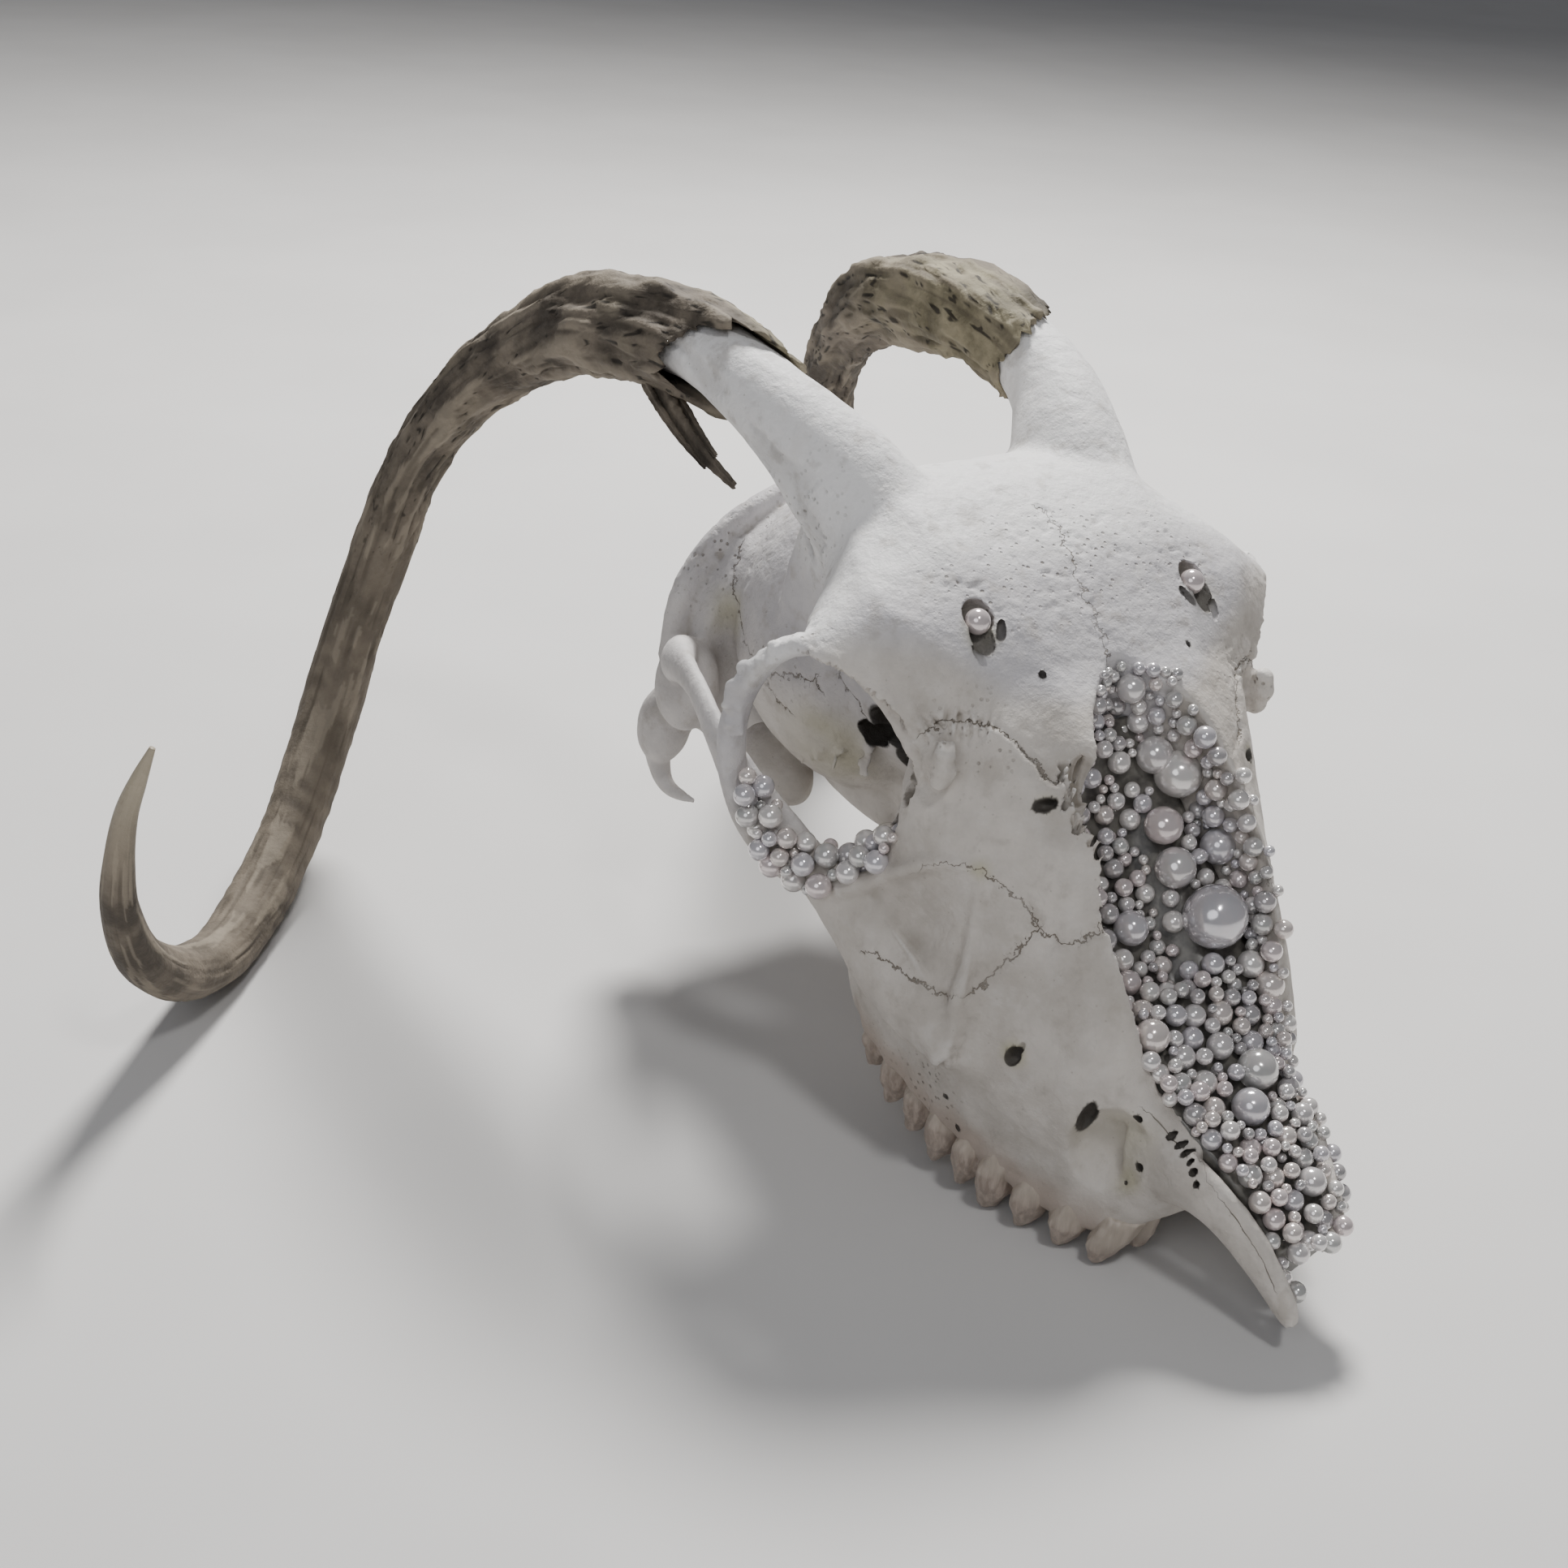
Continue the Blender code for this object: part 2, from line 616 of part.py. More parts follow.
def bead(centre, radius, fine=2):
    bm = bmesh.new()
    bmesh.ops.create_icosphere(bm, subdivisions=fine, radius=radius)
    bmesh.ops.translate(bm, verts=bm.verts, vec=centre)
    mesh = bpy.data.meshes.new("bead")
    bm.to_mesh(mesh)
    bm.free()
    return add_mesh("bead", mesh)


def spread(rng, count, place, least):
    """Random places that keep apart from each other."""
    out = []
    tries = 0
    while len(out) < count and tries < 6000:
        tries += 1
        p, r = place(rng)
        if all((p - q).length > (r + t) * least for q, t in out):
            out.append((p, r))
    return out


def nose_beads():
    rng = random.Random(BEAD_SEED)
    rows = smooth_rows(BED, 60)
    nose = smooth_rows(NASAL, 60)

    def place(gen):
        y = gen.uniform(39.5, 132.0)
        top = float(np.interp(-y, -rows[:, 0], rows[:, 1]))
        inner = float(np.interp(-y, -nose[:, 0], nose[:, 1]))
        low = -inner + 2.0
        high = inner - 1.6
        if y < 66.0:
            low = -float(np.interp(y, (39.0, 66.0), (3.0, 9.5)))
            high = float(np.interp(y, (39.0, 66.0), (8.5, 14.0)))
        x = gen.uniform(low, high)
        r = gen.choice((1.9, 2.2, 2.4, 2.8, 3.2))
        return Vector((x, y, top + 0.3 * r)), r

    fixed = [(Vector(b[:3]), b[3]) for b in BIG_BEADS]
    small = spread(rng, BEADS_NOSE, place, 0.86)
    small = [(p, r) for p, r in small if all((p - q).length > t * 0.95 for q, t in fixed)]
    return fixed + small


def orbit_beads(side):
    rows = []
    for p, ang in rim_rows(212.0, 340.0, 22, 0.90):
        rows.append((p.x + 2.0, p.y - 2.6, p.z + 3.4, 3.3))
    bed = round_path(rows, side, 24, 8)
    rng = random.Random(BEAD_SEED + 7)
    pieces = []
    for k in range(BEADS_ORBIT):
        t = k * (len(rows) - 1) / (BEADS_ORBIT - 1)
        x, y, z, r = rows[int(t)]
        lift = rng.uniform(-1.4, 2.6)
        pieces.append(bead(((x + 0.5 * lift) * side, y - 0.5 * lift, z + lift), rng.uniform(2.1, 2.8), 1))
    return bed, pieces


def to_world(obj, turn):
    obj.data.transform(turn)
    obj.data.update()
    return obj


def material(name, colour, rough, metal=0.0):
    mat = bpy.data.materials.new(name)
    mat.use_nodes = True
    node = mat.node_tree.nodes["Principled BSDF"]
    node.inputs["Base Color"].default_value = (*colour, 1.0)
    node.inputs["Roughness"].default_value = rough
    node.inputs["Metallic"].default_value = metal
    mat.diffuse_color = (*colour, 1.0)
    return mat


COLOURS = {
    "cranium": ((0.80, 0.78, 0.74), 0.70),
    "maxilla_right": ((0.66, 0.60, 0.56), 0.72),
    "maxilla_left": ((0.66, 0.61, 0.57), 0.72),
    "zygomatic_right": ((0.70, 0.65, 0.60), 0.72),
    "zygomatic_left": ((0.70, 0.66, 0.61), 0.72),
    "premaxilla_right": ((0.62, 0.57, 0.51), 0.74),
    "premaxilla_left": ((0.62, 0.58, 0.52), 0.74),
    "horn_sheath_right": ((0.19, 0.15, 0.11), 0.82),
    "horn_sheath_left": ((0.18, 0.145, 0.108), 0.82),
    "pearls_nose": ((0.80, 0.77, 0.74), 0.22),
    "pearls_orbit_right": ((0.82, 0.76, 0.74), 0.22),
    "pearl_brow_right": ((0.84, 0.82, 0.79), 0.20),
    "pearl_brow_left": ((0.84, 0.82, 0.80), 0.20),
}


def suture_line(x):
    """Where the face ends behind, for a distance from the middle."""
    return 131.0 + max(0.0, abs(x) - 15.0) * 0.72


def box(x0, x1, y0, y1, z0, z1):
    return prism([(x0, y0), (x1, y0), (x1, y1), (x0, y1)], z0, z1, 2)


def face_region(inset):
    """Everything that belongs to the face, drawn in by the inset."""
    g = inset
    mid = suture_line(0.0) - g
    out = suture_line(48.0) - g * 1.25
    near = mid + (out - mid) * (31.0 - g) / 33.0
    plan_tall = [(-46.0 + g, near), (-15.0, mid), (15.0, mid), (46.0 - g, near),
                 (46.0 - g, 0.0), (-46.0 + g, 0.0)]
    plan_low = [(-48.0, out), (-15.0, mid), (15.0, mid), (48.0, out), (48.0, 0.0), (-48.0, 0.0)]
    region = prism(plan_tall, -30.0, 150.0, 2)
    more = [prism(plan_low, -29.0, 88.0 - g, 2)]
    for s in (-1.0, 1.0):
        x = sorted((s * (43.0 + g), s * 90.0))
        more.append(box(x[0], x[1], 90.0, 197.0 - g, -28.0, 80.0 - g))
    return boolean(region, more, "UNION")


def cheek_region(inset):
    """The two cheek bones with the lower rim of each orbit."""
    g = inset
    out = None
    for s in (-1.0, 1.0):
        x = sorted((s * (40.5 + g), s * 91.0))
        low = box(x[0], x[1], 127.0 + g, 205.0, -40.0, 59.0 - g)
        x = sorted((s * (43.5 + g), s * 92.0))
        high = box(x[0], x[1], 158.0 + g, 206.0, -41.0, 95.0)
        low = boolean(low, [high], "UNION")
        out = low if out is None else join([out, low], "cheeks")
    return out


def copy_of(obj):
    twin = obj.copy()
    twin.data = obj.data.copy()
    bpy.context.scene.collection.objects.link(twin)
    return twin


def pieces_of(obj, least=40.0):
    """Split an object into its closed islands and drop crumbs."""
    bm = bmesh.new()
    bm.from_mesh(obj.data)
    bmesh.ops.remove_doubles(bm, verts=bm.verts, dist=0.00005)
    out = []
    for group in islands(bm):
        if box_size(group) < least:
            continue
        marks = {v.index for v in group}
        small = bm.copy()
        small.verts.ensure_lookup_table()
        bmesh.ops.delete(small, geom=[v for v in small.verts if v.index not in marks], context="VERTS")
        bmesh.ops.triangulate(small, faces=small.faces)
        mesh = bpy.data.meshes.new("piece")
        small.to_mesh(mesh)
        small.free()
        out.append(add_mesh("piece", mesh))
    bm.free()
    bpy.data.objects.remove(obj, do_unlink=True)
    return out


def middle(obj):
    pts = np.array([v.co[:] for v in obj.data.vertices])
    return (pts.min(axis=0) + pts.max(axis=0)) / 2.0


def biggest(pieces, test):
    fit = [p for p in pieces if test(middle(p))]
    return max(fit, key=lambda p: len(p.data.vertices))


def build_skull():
    body = skull_body()
    boolean(body, face_holes(), "DIFFERENCE")
    keep_largest(body)
    clear = voxel(grown(body, CLEAR), 1.2, 1)
    decimate(clear, 7000)
    decimate(body, TRI_SKULL)
    return keep_largest(body), keep_largest(clear)


def split_skull(body):
    nodes = {}
    face = copy_of(body)
    boolean(body, [face_region(0.0)], "DIFFERENCE")
    nodes["cranium"] = keep_largest(body)
    boolean(face, [face_region(GAP)], "INTERSECT")
    cheeks = copy_of(face)
    boolean(face, [cheek_region(0.0)], "DIFFERENCE")
    boolean(cheeks, [cheek_region(GAP)], "INTERSECT")
    h = GAP / 2.0
    cuts = [box(-h, h, 10.0, 136.0, -35.0, 145.0)]
    seam = [(-10.0, 70.0 - h), (80.0, 58.0 - h), (80.0, 58.0 + h), (-10.0, 70.0 + h)]
    cuts.append(prism([(y, z) for z, y in seam], -60.0, 60.0, 0))
    boolean(face, cuts, "DIFFERENCE")
    fronts = pieces_of(face)
    sides = pieces_of(cheeks)
    for side, word in ((-1.0, "right"), (1.0, "left")):
        nodes["maxilla_" + word] = biggest(fronts, lambda m: m[0] * side > 0 and m[1] > 70.0)
        nodes["premaxilla_" + word] = biggest(fronts, lambda m: m[0] * side > 0 and m[1] < 60.0)
        nodes["zygomatic_" + word] = biggest(sides, lambda m: m[0] * side > 0)
    stub = box(0.0, 40.0, 0.0, 41.5, -20.0, 60.0)
    boolean(nodes["premaxilla_left"], [stub], "DIFFERENCE")
    keep_largest(nodes["premaxilla_left"])
    kept = {id(o) for o in nodes.values()}
    for piece in fronts + sides:
        if id(piece) not in kept:
            bpy.data.objects.remove(piece, do_unlink=True)
    return nodes


def grown(obj, by):
    """A copy pushed out along its normals, to cut a clear gap."""
    twin = copy_of(obj)
    mod = twin.modifiers.new("grow", "DISPLACE")
    mod.strength = by
    mod.mid_level = 0.0
    return bake(twin)


def world_matrix():
    turn = Matrix.Rotation(math.radians(PITCH_DEG), 4, "X")
    low = turn @ Vector((CUSPS[0][1], CUSPS[0][0], CUSPS[0][2]))
    return Matrix.Diagonal((0.001, 0.001, 0.001, 1.0)) @ Matrix.Translation((0.0, 0.0, FLAT - low.z)) @ turn


def level_horns():
    """Bend the horn path a little so that its lowest bend lies on the floor."""
    turn = world_matrix()
    rows = []
    lows = [(turn @ Vector(r[:3])).z * 1000.0 - r[3] for r in HORN]
    sink = min(lows) + 0.35
    deepest = lows.index(min(lows))
    for k, r in enumerate(HORN):
        part = min(1.0, (k / deepest) ** 1.5)
        rows.append((r[0], r[1], r[2] - sink * part, r[3]))
    return tuple(rows)


def flat_floor(obj):
    """Trim the very lowest points to small flats on the floor."""
    low = min(v.co.z for v in obj.data.vertices)
    if low < 0.0:
        cut = prism([(-0.6, -0.6), (0.6, -0.6), (0.6, 0.6), (-0.6, 0.6)], -0.05, 0.0, 2)
        boolean(obj, [cut], "DIFFERENCE")
        keep_largest(obj)
    return obj


clear_all()
HORN = level_horns()
skull, shell = build_skull()
nodes = split_skull(skull)
for side, word in ((-1.0, "right"), (1.0, "left")):
    node = nodes["maxilla_" + word]
    boolean(node, tooth_row(side), "UNION")
    keep_largest(node)
    nodes["horn_sheath_" + word] = horn_sheath(side, shell)
bed = bed_body()
boolean(bed, [bead(p, r, 2 if r > 4.0 else 1) for p, r in nose_beads()], "UNION")
boolean(bed, [copy_of(shell)], "DIFFERENCE")
nodes["pearls_nose"] = keep_largest(bed)
strip, small = orbit_beads(-1.0)
boolean(strip, small, "UNION")
boolean(strip, [copy_of(shell)], "DIFFERENCE")
nodes["pearls_orbit_right"] = keep_largest(strip)
bpy.data.objects.remove(shell, do_unlink=True)
for side, word in ((-1.0, "right"), (1.0, "left")):
    nodes["pearl_brow_" + word] = bead((27.7 * side, 151.6, 110.4), 2.3, 2)
turn = world_matrix()
home = bpy.data.collections.new("ram_skull")
bpy.context.scene.collection.children.link(home)
for name, obj in nodes.items():
    to_world(obj, turn)
    flat_floor(obj)
pts = np.array([v.co[:] for o in nodes.values() for v in o.data.vertices])
shift = (pts.min(axis=0) + pts.max(axis=0)) / 2.0
for name, obj in nodes.items():
    obj.data.transform(Matrix.Translation((-shift[0], -shift[1], 0.0)))
    obj.name = name
    obj.data.name = name
    for old in list(obj.users_collection):
        old.objects.unlink(obj)
    home.objects.link(obj)
    colour, rough = COLOURS[name]
    obj.data.materials.clear()
    obj.data.materials.append(material(name, colour, rough))
    for poly in obj.data.polygons:
        poly.material_index = 0
        poly.use_smooth = True
    obj.data.set_sharp_from_angle(angle=math.radians(40.0))
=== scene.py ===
# Looks of the ram skull with its bead filling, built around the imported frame.
# Forms are modelled in millimetres in the frame of the skull: x to the side,
# y from nose to nape, z up from the chewing plane. The animal's right is -x.
import bpy
import bmesh
import random
from math import copysign, cos, pi, radians, sin, tau
import numpy as np
from mathutils import Euler, Matrix, Vector
from mathutils.bvhtree import BVHTree


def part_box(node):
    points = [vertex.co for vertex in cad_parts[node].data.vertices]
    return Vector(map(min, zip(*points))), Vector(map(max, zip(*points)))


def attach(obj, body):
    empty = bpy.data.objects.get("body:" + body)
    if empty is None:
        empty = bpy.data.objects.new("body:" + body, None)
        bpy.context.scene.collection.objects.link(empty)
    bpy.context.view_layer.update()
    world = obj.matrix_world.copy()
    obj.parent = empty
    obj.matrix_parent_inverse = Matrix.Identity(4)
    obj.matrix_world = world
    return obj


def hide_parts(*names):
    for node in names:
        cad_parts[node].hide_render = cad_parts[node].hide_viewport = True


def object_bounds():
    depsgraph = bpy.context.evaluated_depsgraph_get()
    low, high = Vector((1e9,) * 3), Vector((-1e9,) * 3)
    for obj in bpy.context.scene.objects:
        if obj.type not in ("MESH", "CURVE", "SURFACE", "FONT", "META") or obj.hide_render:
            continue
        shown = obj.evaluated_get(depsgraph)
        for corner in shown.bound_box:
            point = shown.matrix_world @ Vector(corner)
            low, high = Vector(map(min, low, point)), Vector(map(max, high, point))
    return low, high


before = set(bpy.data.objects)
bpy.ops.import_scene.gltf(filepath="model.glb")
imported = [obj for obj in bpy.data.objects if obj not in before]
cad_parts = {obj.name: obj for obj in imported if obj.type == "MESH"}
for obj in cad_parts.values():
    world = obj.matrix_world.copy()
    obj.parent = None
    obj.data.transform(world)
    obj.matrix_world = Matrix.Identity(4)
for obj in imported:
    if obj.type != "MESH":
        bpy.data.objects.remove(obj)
cad_low, cad_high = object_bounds()

SIDES = ((-1.0, "right"), (1.0, "left"))
UP = Vector((0.0, 0.0, 1.0))
ROUND = 6.28
PITCH_DEG = 14.5
VOXEL_BODY = 1.3
VOXEL_FINE = 0.66
VOXEL_TEETH = 0.42
SEED = 7
# How far a seam is felt, and the distance given to points past that.
LINE_REACH = 9.0
SEAM_REACH = 9.0
FAR = 99.0

# Face sections: y, then half width and height at five places, then floor height.
FACE = (
    (62, (14.5, 42), (16, 40), (17, 35), (16.5, 28), (13, 23), 23),
    (70, (16.5, 44.5), (19, 41.5), (21.5, 36), (22, 24), (22.5, 12), 14),
    (77.5, (19.5, 49), (23, 46.5), (26.5, 41), (27, 28), (26.5, 9.5), 9),
    (85, (21, 60), (26, 53.5), (30, 45), (31, 30), (29.5, 9), 8),
    (98, (20.5, 77), (27, 66), (32, 51), (36.5, 33), (33.5, 9), 7),
    (110, (18.5, 88), (28, 78), (35, 62), (42.5, 36), (36, 10), 7),
    (121, (16, 97), (29, 89), (38, 74), (44.5, 41), (37.5, 11), 8),
    (136, (17, 104), (33, 99), (43, 80), (47, 44), (38, 12), 10),
    (149, (24, 110), (35, 99), (38, 78), (44, 44), (35, 16), 16),
)
# Forehead sections, the same way.
BROW = (
    (130, (13, 98), (21, 94), (26, 86), (25, 70), (20, 58), 56),
    (138, (16, 105), (33, 101), (43, 91), (33, 74), (22, 58), 50),
    (150, (22, 111.5), (42, 109), (54.5, 99.5), (38, 91), (20, 60), 42),
    (160, (26, 115.5), (46, 111), (61, 101), (39, 92), (18.5, 60), 38),
    (170, (28, 118), (43, 112), (54, 99), (33, 88), (19, 58), 36),
    (182, (29, 119), (39, 112), (42, 100), (30, 84), (24, 56), 34),
    (194, (23, 116), (34, 113), (37, 102), (32, 82), (28, 56), 32),
    (207, (18, 106), (27, 106), (32, 96), (33, 80), (30, 56), 32),
)
# Nasal opening cut: y, half width at the rim, half width inside, floor height.
NASAL = (
    (137.5, 1.5, 1.5, 97), (133, 7, 7, 85), (126, 12.5, 13, 72), (118, 14.6, 17, 62), (110, 17, 20, 55),
    (100, 19, 22, 49), (86, 19.3, 20.5, 41), (77, 17.6, 18, 36), (70, 14.8, 15, 33), (60, 12.6, 12.6, 30),
    (52, 12.6, 12.6, 30),
)
NASAL_TOP = 140.0
# Balls and an outline of the brain case, and hollows of both sides and the palate: centre, radii, turn.
BRAIN_CASE = ((0, 207, 61), (33.5, 38, 36.5))
NAPE_PLATE = ((0, 79), (13, 78), (25, 71.5), (33, 60), (36.5, 44), (34.5, 26), (22, 15), (0, 13))
NAPE_HOLE = ((0, 250, 36), (9, 22, 8))
BASE_BALLS = (((0, 206, 31), (13.5, 40, 11)), ((0, 170, 44), (11.5, 26, 16)))
JAW_TUBER = ((26, 141, 22), (10.5, 11, 13))
SIDE_CUTS = (
    ((52, 163, 71), (29, 22, 25.5)), ((56, 172, 62), (28, 26, 30)), ((52, 152, 72), (14, 16.5, 19)),
    ((54.5, 156, 84), (16, 15, 16)), ((49, 148, 86), (9, 9.5, 11)),
    ((29.6, 70.7, 34), (12.2, 9.8, 12.5), (0, 0, -30), 48, 30),
)
PALATE_CUTS = (((0, 98, 3), (21, 42, 13)), ((0, 147, 16), (10.5, 24, 14)))
EAR_BALLS = (
    ((12.5, 242, 27), (8, 7.5, 10), (15, 0, 0)), ((35.5, 235, 21), (6, 7.5, 12), (10, 0, 0)),
    ((36.5, 228, 38), (7, 9, 12)), ((19, 210, 24), (7.5, 12, 7.5), (8, 0, 0)), ((10, 232, 27), (9, 10, 12)),
)
PTERYGOID = ((12.5, 158, 27), (2.4, 21, 13), (-6, 0, 0))
# Crest across the nape, ridge below the tear bone and ridge down the cheek: x, y, z, radius.
CREST = ((37, 236, 40, 3.2), (34.8, 239, 58, 3.2), (25.5, 241, 71, 3), (11, 242.5, 78, 3), (0, 243, 79, 3))
RIDGE = (
    (50.2, 142.5, 50.5, 2.2), (45.6, 137.7, 57, 2.4), (43.4, 131.1, 65, 2.2), (40.2, 125.8, 70.7, 1.9),
    (36.3, 119.2, 72.8, 1.4),
)
SHIN = (
    (36.3, 119, 71.3, 1.4), (37.2, 115.8, 61.6, 2), (38, 112.7, 52.8, 2.4), (39.2, 110.4, 44.7, 2.6),
    (41, 107.8, 38.4, 2.4), (39.8, 107, 33, 1.6),
)
# Premaxilla bar: centre x, y, z, half height, half thickness.
PREMAX = (
    (17.5, 74, 32, 9, 3.6), (16.2, 66, 34.5, 8.2, 3.2), (15, 60, 35.5, 6.8, 2.9), (13, 53, 34.8, 5.6, 2.7),
    (11.3, 47.5, 33, 4.9, 2.5), (9.6, 42, 30, 4.3, 2.3), (8.5, 37, 27, 3.6, 2.1),
    (7.6, 33.5, 24.4, 2.8, 1.8), (7.2, 31.2, 22.4, 1.6, 1.2),
)
# Cheek bar from the facial tuber below the orbit to the ear region.
CHEEK = (
    (39.5, 108, 35.5, 5.5, 4), (43, 118, 37.5, 9, 4), (45, 130, 41.5, 10.5, 4.2),
    (46.8, 141, 45.5, 8.5, 4.2), (50.5, 152, 49.5, 5.6, 3.6), (55.5, 163, 55, 5.6, 3.3),
    (58.8, 174, 60, 5.6, 2.7), (57, 187, 61, 4, 2), (53, 200, 59.5, 3.4, 1.9), (49.3, 212, 56.5, 3.8, 2.4),
    (43.5, 224, 50, 5.5, 4), (37, 229, 44, 6, 4),
)
ORBIT_CENTRE = Vector((52.2, 156.0, 71.5))
ORBIT_ALONG = Vector((11.0, 15.2, -3.6))
ORBIT_UP = Vector((4.0, 4.4, 26.0))
ORBIT_FORE = 0.27
ORBIT_HIGH = 0.14
ORBIT_TUBE = 3.3
# Knobs along the upper hind rim of the orbit, and the free edge of the forehead in front of them.
KNOBS = (
    (66.4, 169.4, 76), (67.3, 170.2, 82), (66.3, 171.2, 86), (64.8, 170.8, 90.5), (63.4, 168.6, 95.5),
    (61.8, 166.3, 98.7), (59.8, 164, 100.6),
)
BROW_EDGE = (
    (58, 160, 101.4), (55.6, 154.8, 101.4), (50.5, 147.6, 98.4), (47.7, 144.6, 96.4), (44.4, 142.2, 93.5),
)
# Notch that breaks the right margin of the nasal opening: x, y, z, radius.
NOTCH = ((-19, 119, 92, 4.6), (-20, 115.5, 88.5, 3.8), (-19.5, 111.5, 85.5, 3.2), (-18.8, 108.5, 83, 2.4))
# Hooked process below the ear region: x, y, z, half width, half thickness.
HOOK = (
    (35.5, 236, 23, 4.6, 6.2), (35.5, 236.3, 14, 3.4, 4.2), (35, 233.6, 7.6, 2.6, 3.1),
    (34.5, 229.4, 5.2, 2, 2.2), (33.8, 224.4, 6.2, 1.4, 1.5), (33, 219.6, 8.2, 0.7, 0.8),
)
# Splinters of thin bone deep in the orbit: start, end, thickness at both.
SPLINTERS = (
    ((24.5, 197, 46), (24, 195, 38), 2.6, 1), ((25, 193.5, 47), (25.4, 190.5, 37), 2, 0.6),
    ((25.8, 189.5, 50), (24.8, 189.6, 42), 3, 0.9), ((24, 184, 52), (26.4, 181.6, 41), 1.8, 0.5),
    ((22, 178, 56), (22.6, 175, 46), 2.6, 0.9),
)
# Holes and hollows: centre, radii, turn, and how much painted shade darkens their inside.
HOLES = (
    ((27.9, 150.2, 110.6), (3.3, 3.9, 4), 0, 0.35), ((28.7, 146.3, 108.6), (2.5, 4.6, 3.4), 0, 0.6),
    ((30.2, 142, 106.4), (0.9, 5.2, 1.6), -16, 0.3), ((24.4, 146, 109.3), (1, 3.2, 1.8), 28, 0.7),
    ((22, 170, 65.5), (9, 6.5, 5.5), 20, 0.985), ((21, 166.5, 55.5), (9, 4.5, 7), 0, 0.975),
    ((21, 176.5, 60), (6, 4, 3), 0, 0.97), ((34, 97.2, 41.2), (3.4, 1.5, 2.3), 0, 0.85),
    ((34.6, 96.6, 43.8), (2.4, 0.9, 2), 0, 0.3), ((27.6, 79.4, 37.6), (4.2, 1.7, 5.4), -30, 0.985),
    ((26.6, 118.3, 87.8), (3.8, 1.5, 1.5), 0, 1), ((18.9, 137.2, 104.1), (0.7, 0.7, 1.8), 0, 0.9),
    ((21.4, 73.3, 42.5), (3, 0.8, 0.8), 0, 1), ((21.4, 68.9, 32.8), (3.4, 0.9, 1), 0, 1),
    ((22.4, 70.1, 27.1), (2.6, 0.6, 0.6), 0, 0.9), ((17.5, 67.4, 42.5), (2.6, 0.5, 0.8), 0, 1),
    ((16.8, 64.9, 42.1), (2.6, 0.4, 0.7), 0, 1), ((16.6, 62.9, 41.8), (2.6, 0.5, 0.7), 0, 1),
    ((16.5, 61.1, 41.3), (2.6, 0.4, 0.7), 0, 1), ((16.9, 59.4, 40.3), (2.8, 0.7, 0.9), 0, 1),
    ((16.9, 57.6, 38.7), (2.8, 0.6, 0.8), 0, 1), ((38.3, 107, 21), (1.6, 0.6, 0.6), 0, 0.8),
    ((36.2, 103, 14.5), (1.6, 0.7, 0.9), 0, 0.8),
)
# Horn path of the right side, mirrored for the left: x, y, z, radius.
HORN = (
    (36.5, 211, 119, 11.4), (39.5, 224, 121, 11.4), (41.4, 241, 120, 11.4), (43.8, 263.2, 112.9, 11.4),
    (46.4, 283.1, 102.8, 11.3), (50, 299.1, 88.3, 9.8), (54.6, 311.6, 74.6, 8.6), (59.4, 321.6, 56.6, 7.8),
    (64.1, 326.7, 39.1, 7.7), (68.3, 326.9, 22.4, 7.8), (73.3, 324.3, 8.4, 7.9), (79.4, 319.4, -3.9, 8),
    (86.2, 311.5, -15.3, 8), (94.6, 300.6, -25.3, 8), (104.7, 287.5, -32.7, 7.9),
    (115.4, 274.1, -36.6, 7.8), (127.6, 259.7, -37, 7.6), (140.3, 244.7, -32.6, 7.2),
    (154.9, 230.7, -21.5, 6.6), (167.9, 220.7, -2.8, 5.4), (173.9, 216.4, 16.5, 4.2),
    (174.8, 215.1, 31.3, 3.4), (173.8, 214.9, 43.1, 2.7), (171.5, 214.9, 51.5, 2), (168.7, 215.3, 59, 0.9),
)
# Bone core of the right horn, the same way.
CORE = (
    (24, 176, 100, 15), (26.5, 188, 107, 14), (31, 199, 113.5, 12.6), (36, 210, 118.3, 10.3),
    (39.3, 224, 120.6, 8.9), (41.4, 241, 120, 8.1), (43.6, 258, 114.8, 7), (45.2, 268, 110.4, 5),
)
# How much closer to the middle the left horn stands: y of the place, shift.
LEFT_NEAR = ((190, 212, 240, 300, 327), (0, 3.5, 7.5, 5.5, 1))
HORN_SIDES = 84
HORN_RINGS = 400
# Where the sheath ends over the bone core: x of the place and the y behind which horn begins.
EDGE_X = (0, 30, 42, 52, 62)
EDGE_Y = (212, 220, 229, 240, 250)
RIM_ROWS = 13
# Peeled strips that hang below the sheath edge: x, y, z, half width, half thickness.
STRIPS = (
    ((46.6, 252, 109, 3.4, 1.2), (46.9, 243, 106.6, 3, 1.1), (47.2, 234, 105, 2.4, 0.9),
     (46.9, 225, 104, 1.9, 0.7), (46.2, 213, 103.6, 0.8, 0.4)),
    ((44.6, 246, 108.6, 1.6, 0.7), (45.2, 238, 107.4, 1.3, 0.6), (46.2, 229, 106.6, 0.9, 0.5),
     (46.8, 221, 106.2, 0.4, 0.3)),
    ((48.4, 251, 107, 1.3, 0.6), (48.8, 242, 105.2, 1.1, 0.5), (48.8, 232, 103.8, 0.7, 0.4),
     (48.2, 222, 102.8, 0.3, 0.2)),
)
# Cheek teeth: y of each cusp, x of the cusp, height of the point, length of its pillar.
CUSPS = (
    (69.1, 21.8, 4.4, 7.6), (77, 25.4, 2.6, 8), (85.6, 28.6, 0.6, 8.2), (93.8, 31.6, -1.7, 8),
    (100.9, 32.9, -1.4, 7.6), (109, 34.3, -2, 8.4), (117.4, 34.7, -1.6, 8.4), (126.2, 34.9, -1.2, 8.8),
    (135.2, 33.9, 1, 8.6),
)
CROWN_ROOT_Z = 15.0
PILLAR_LEVELS = 16
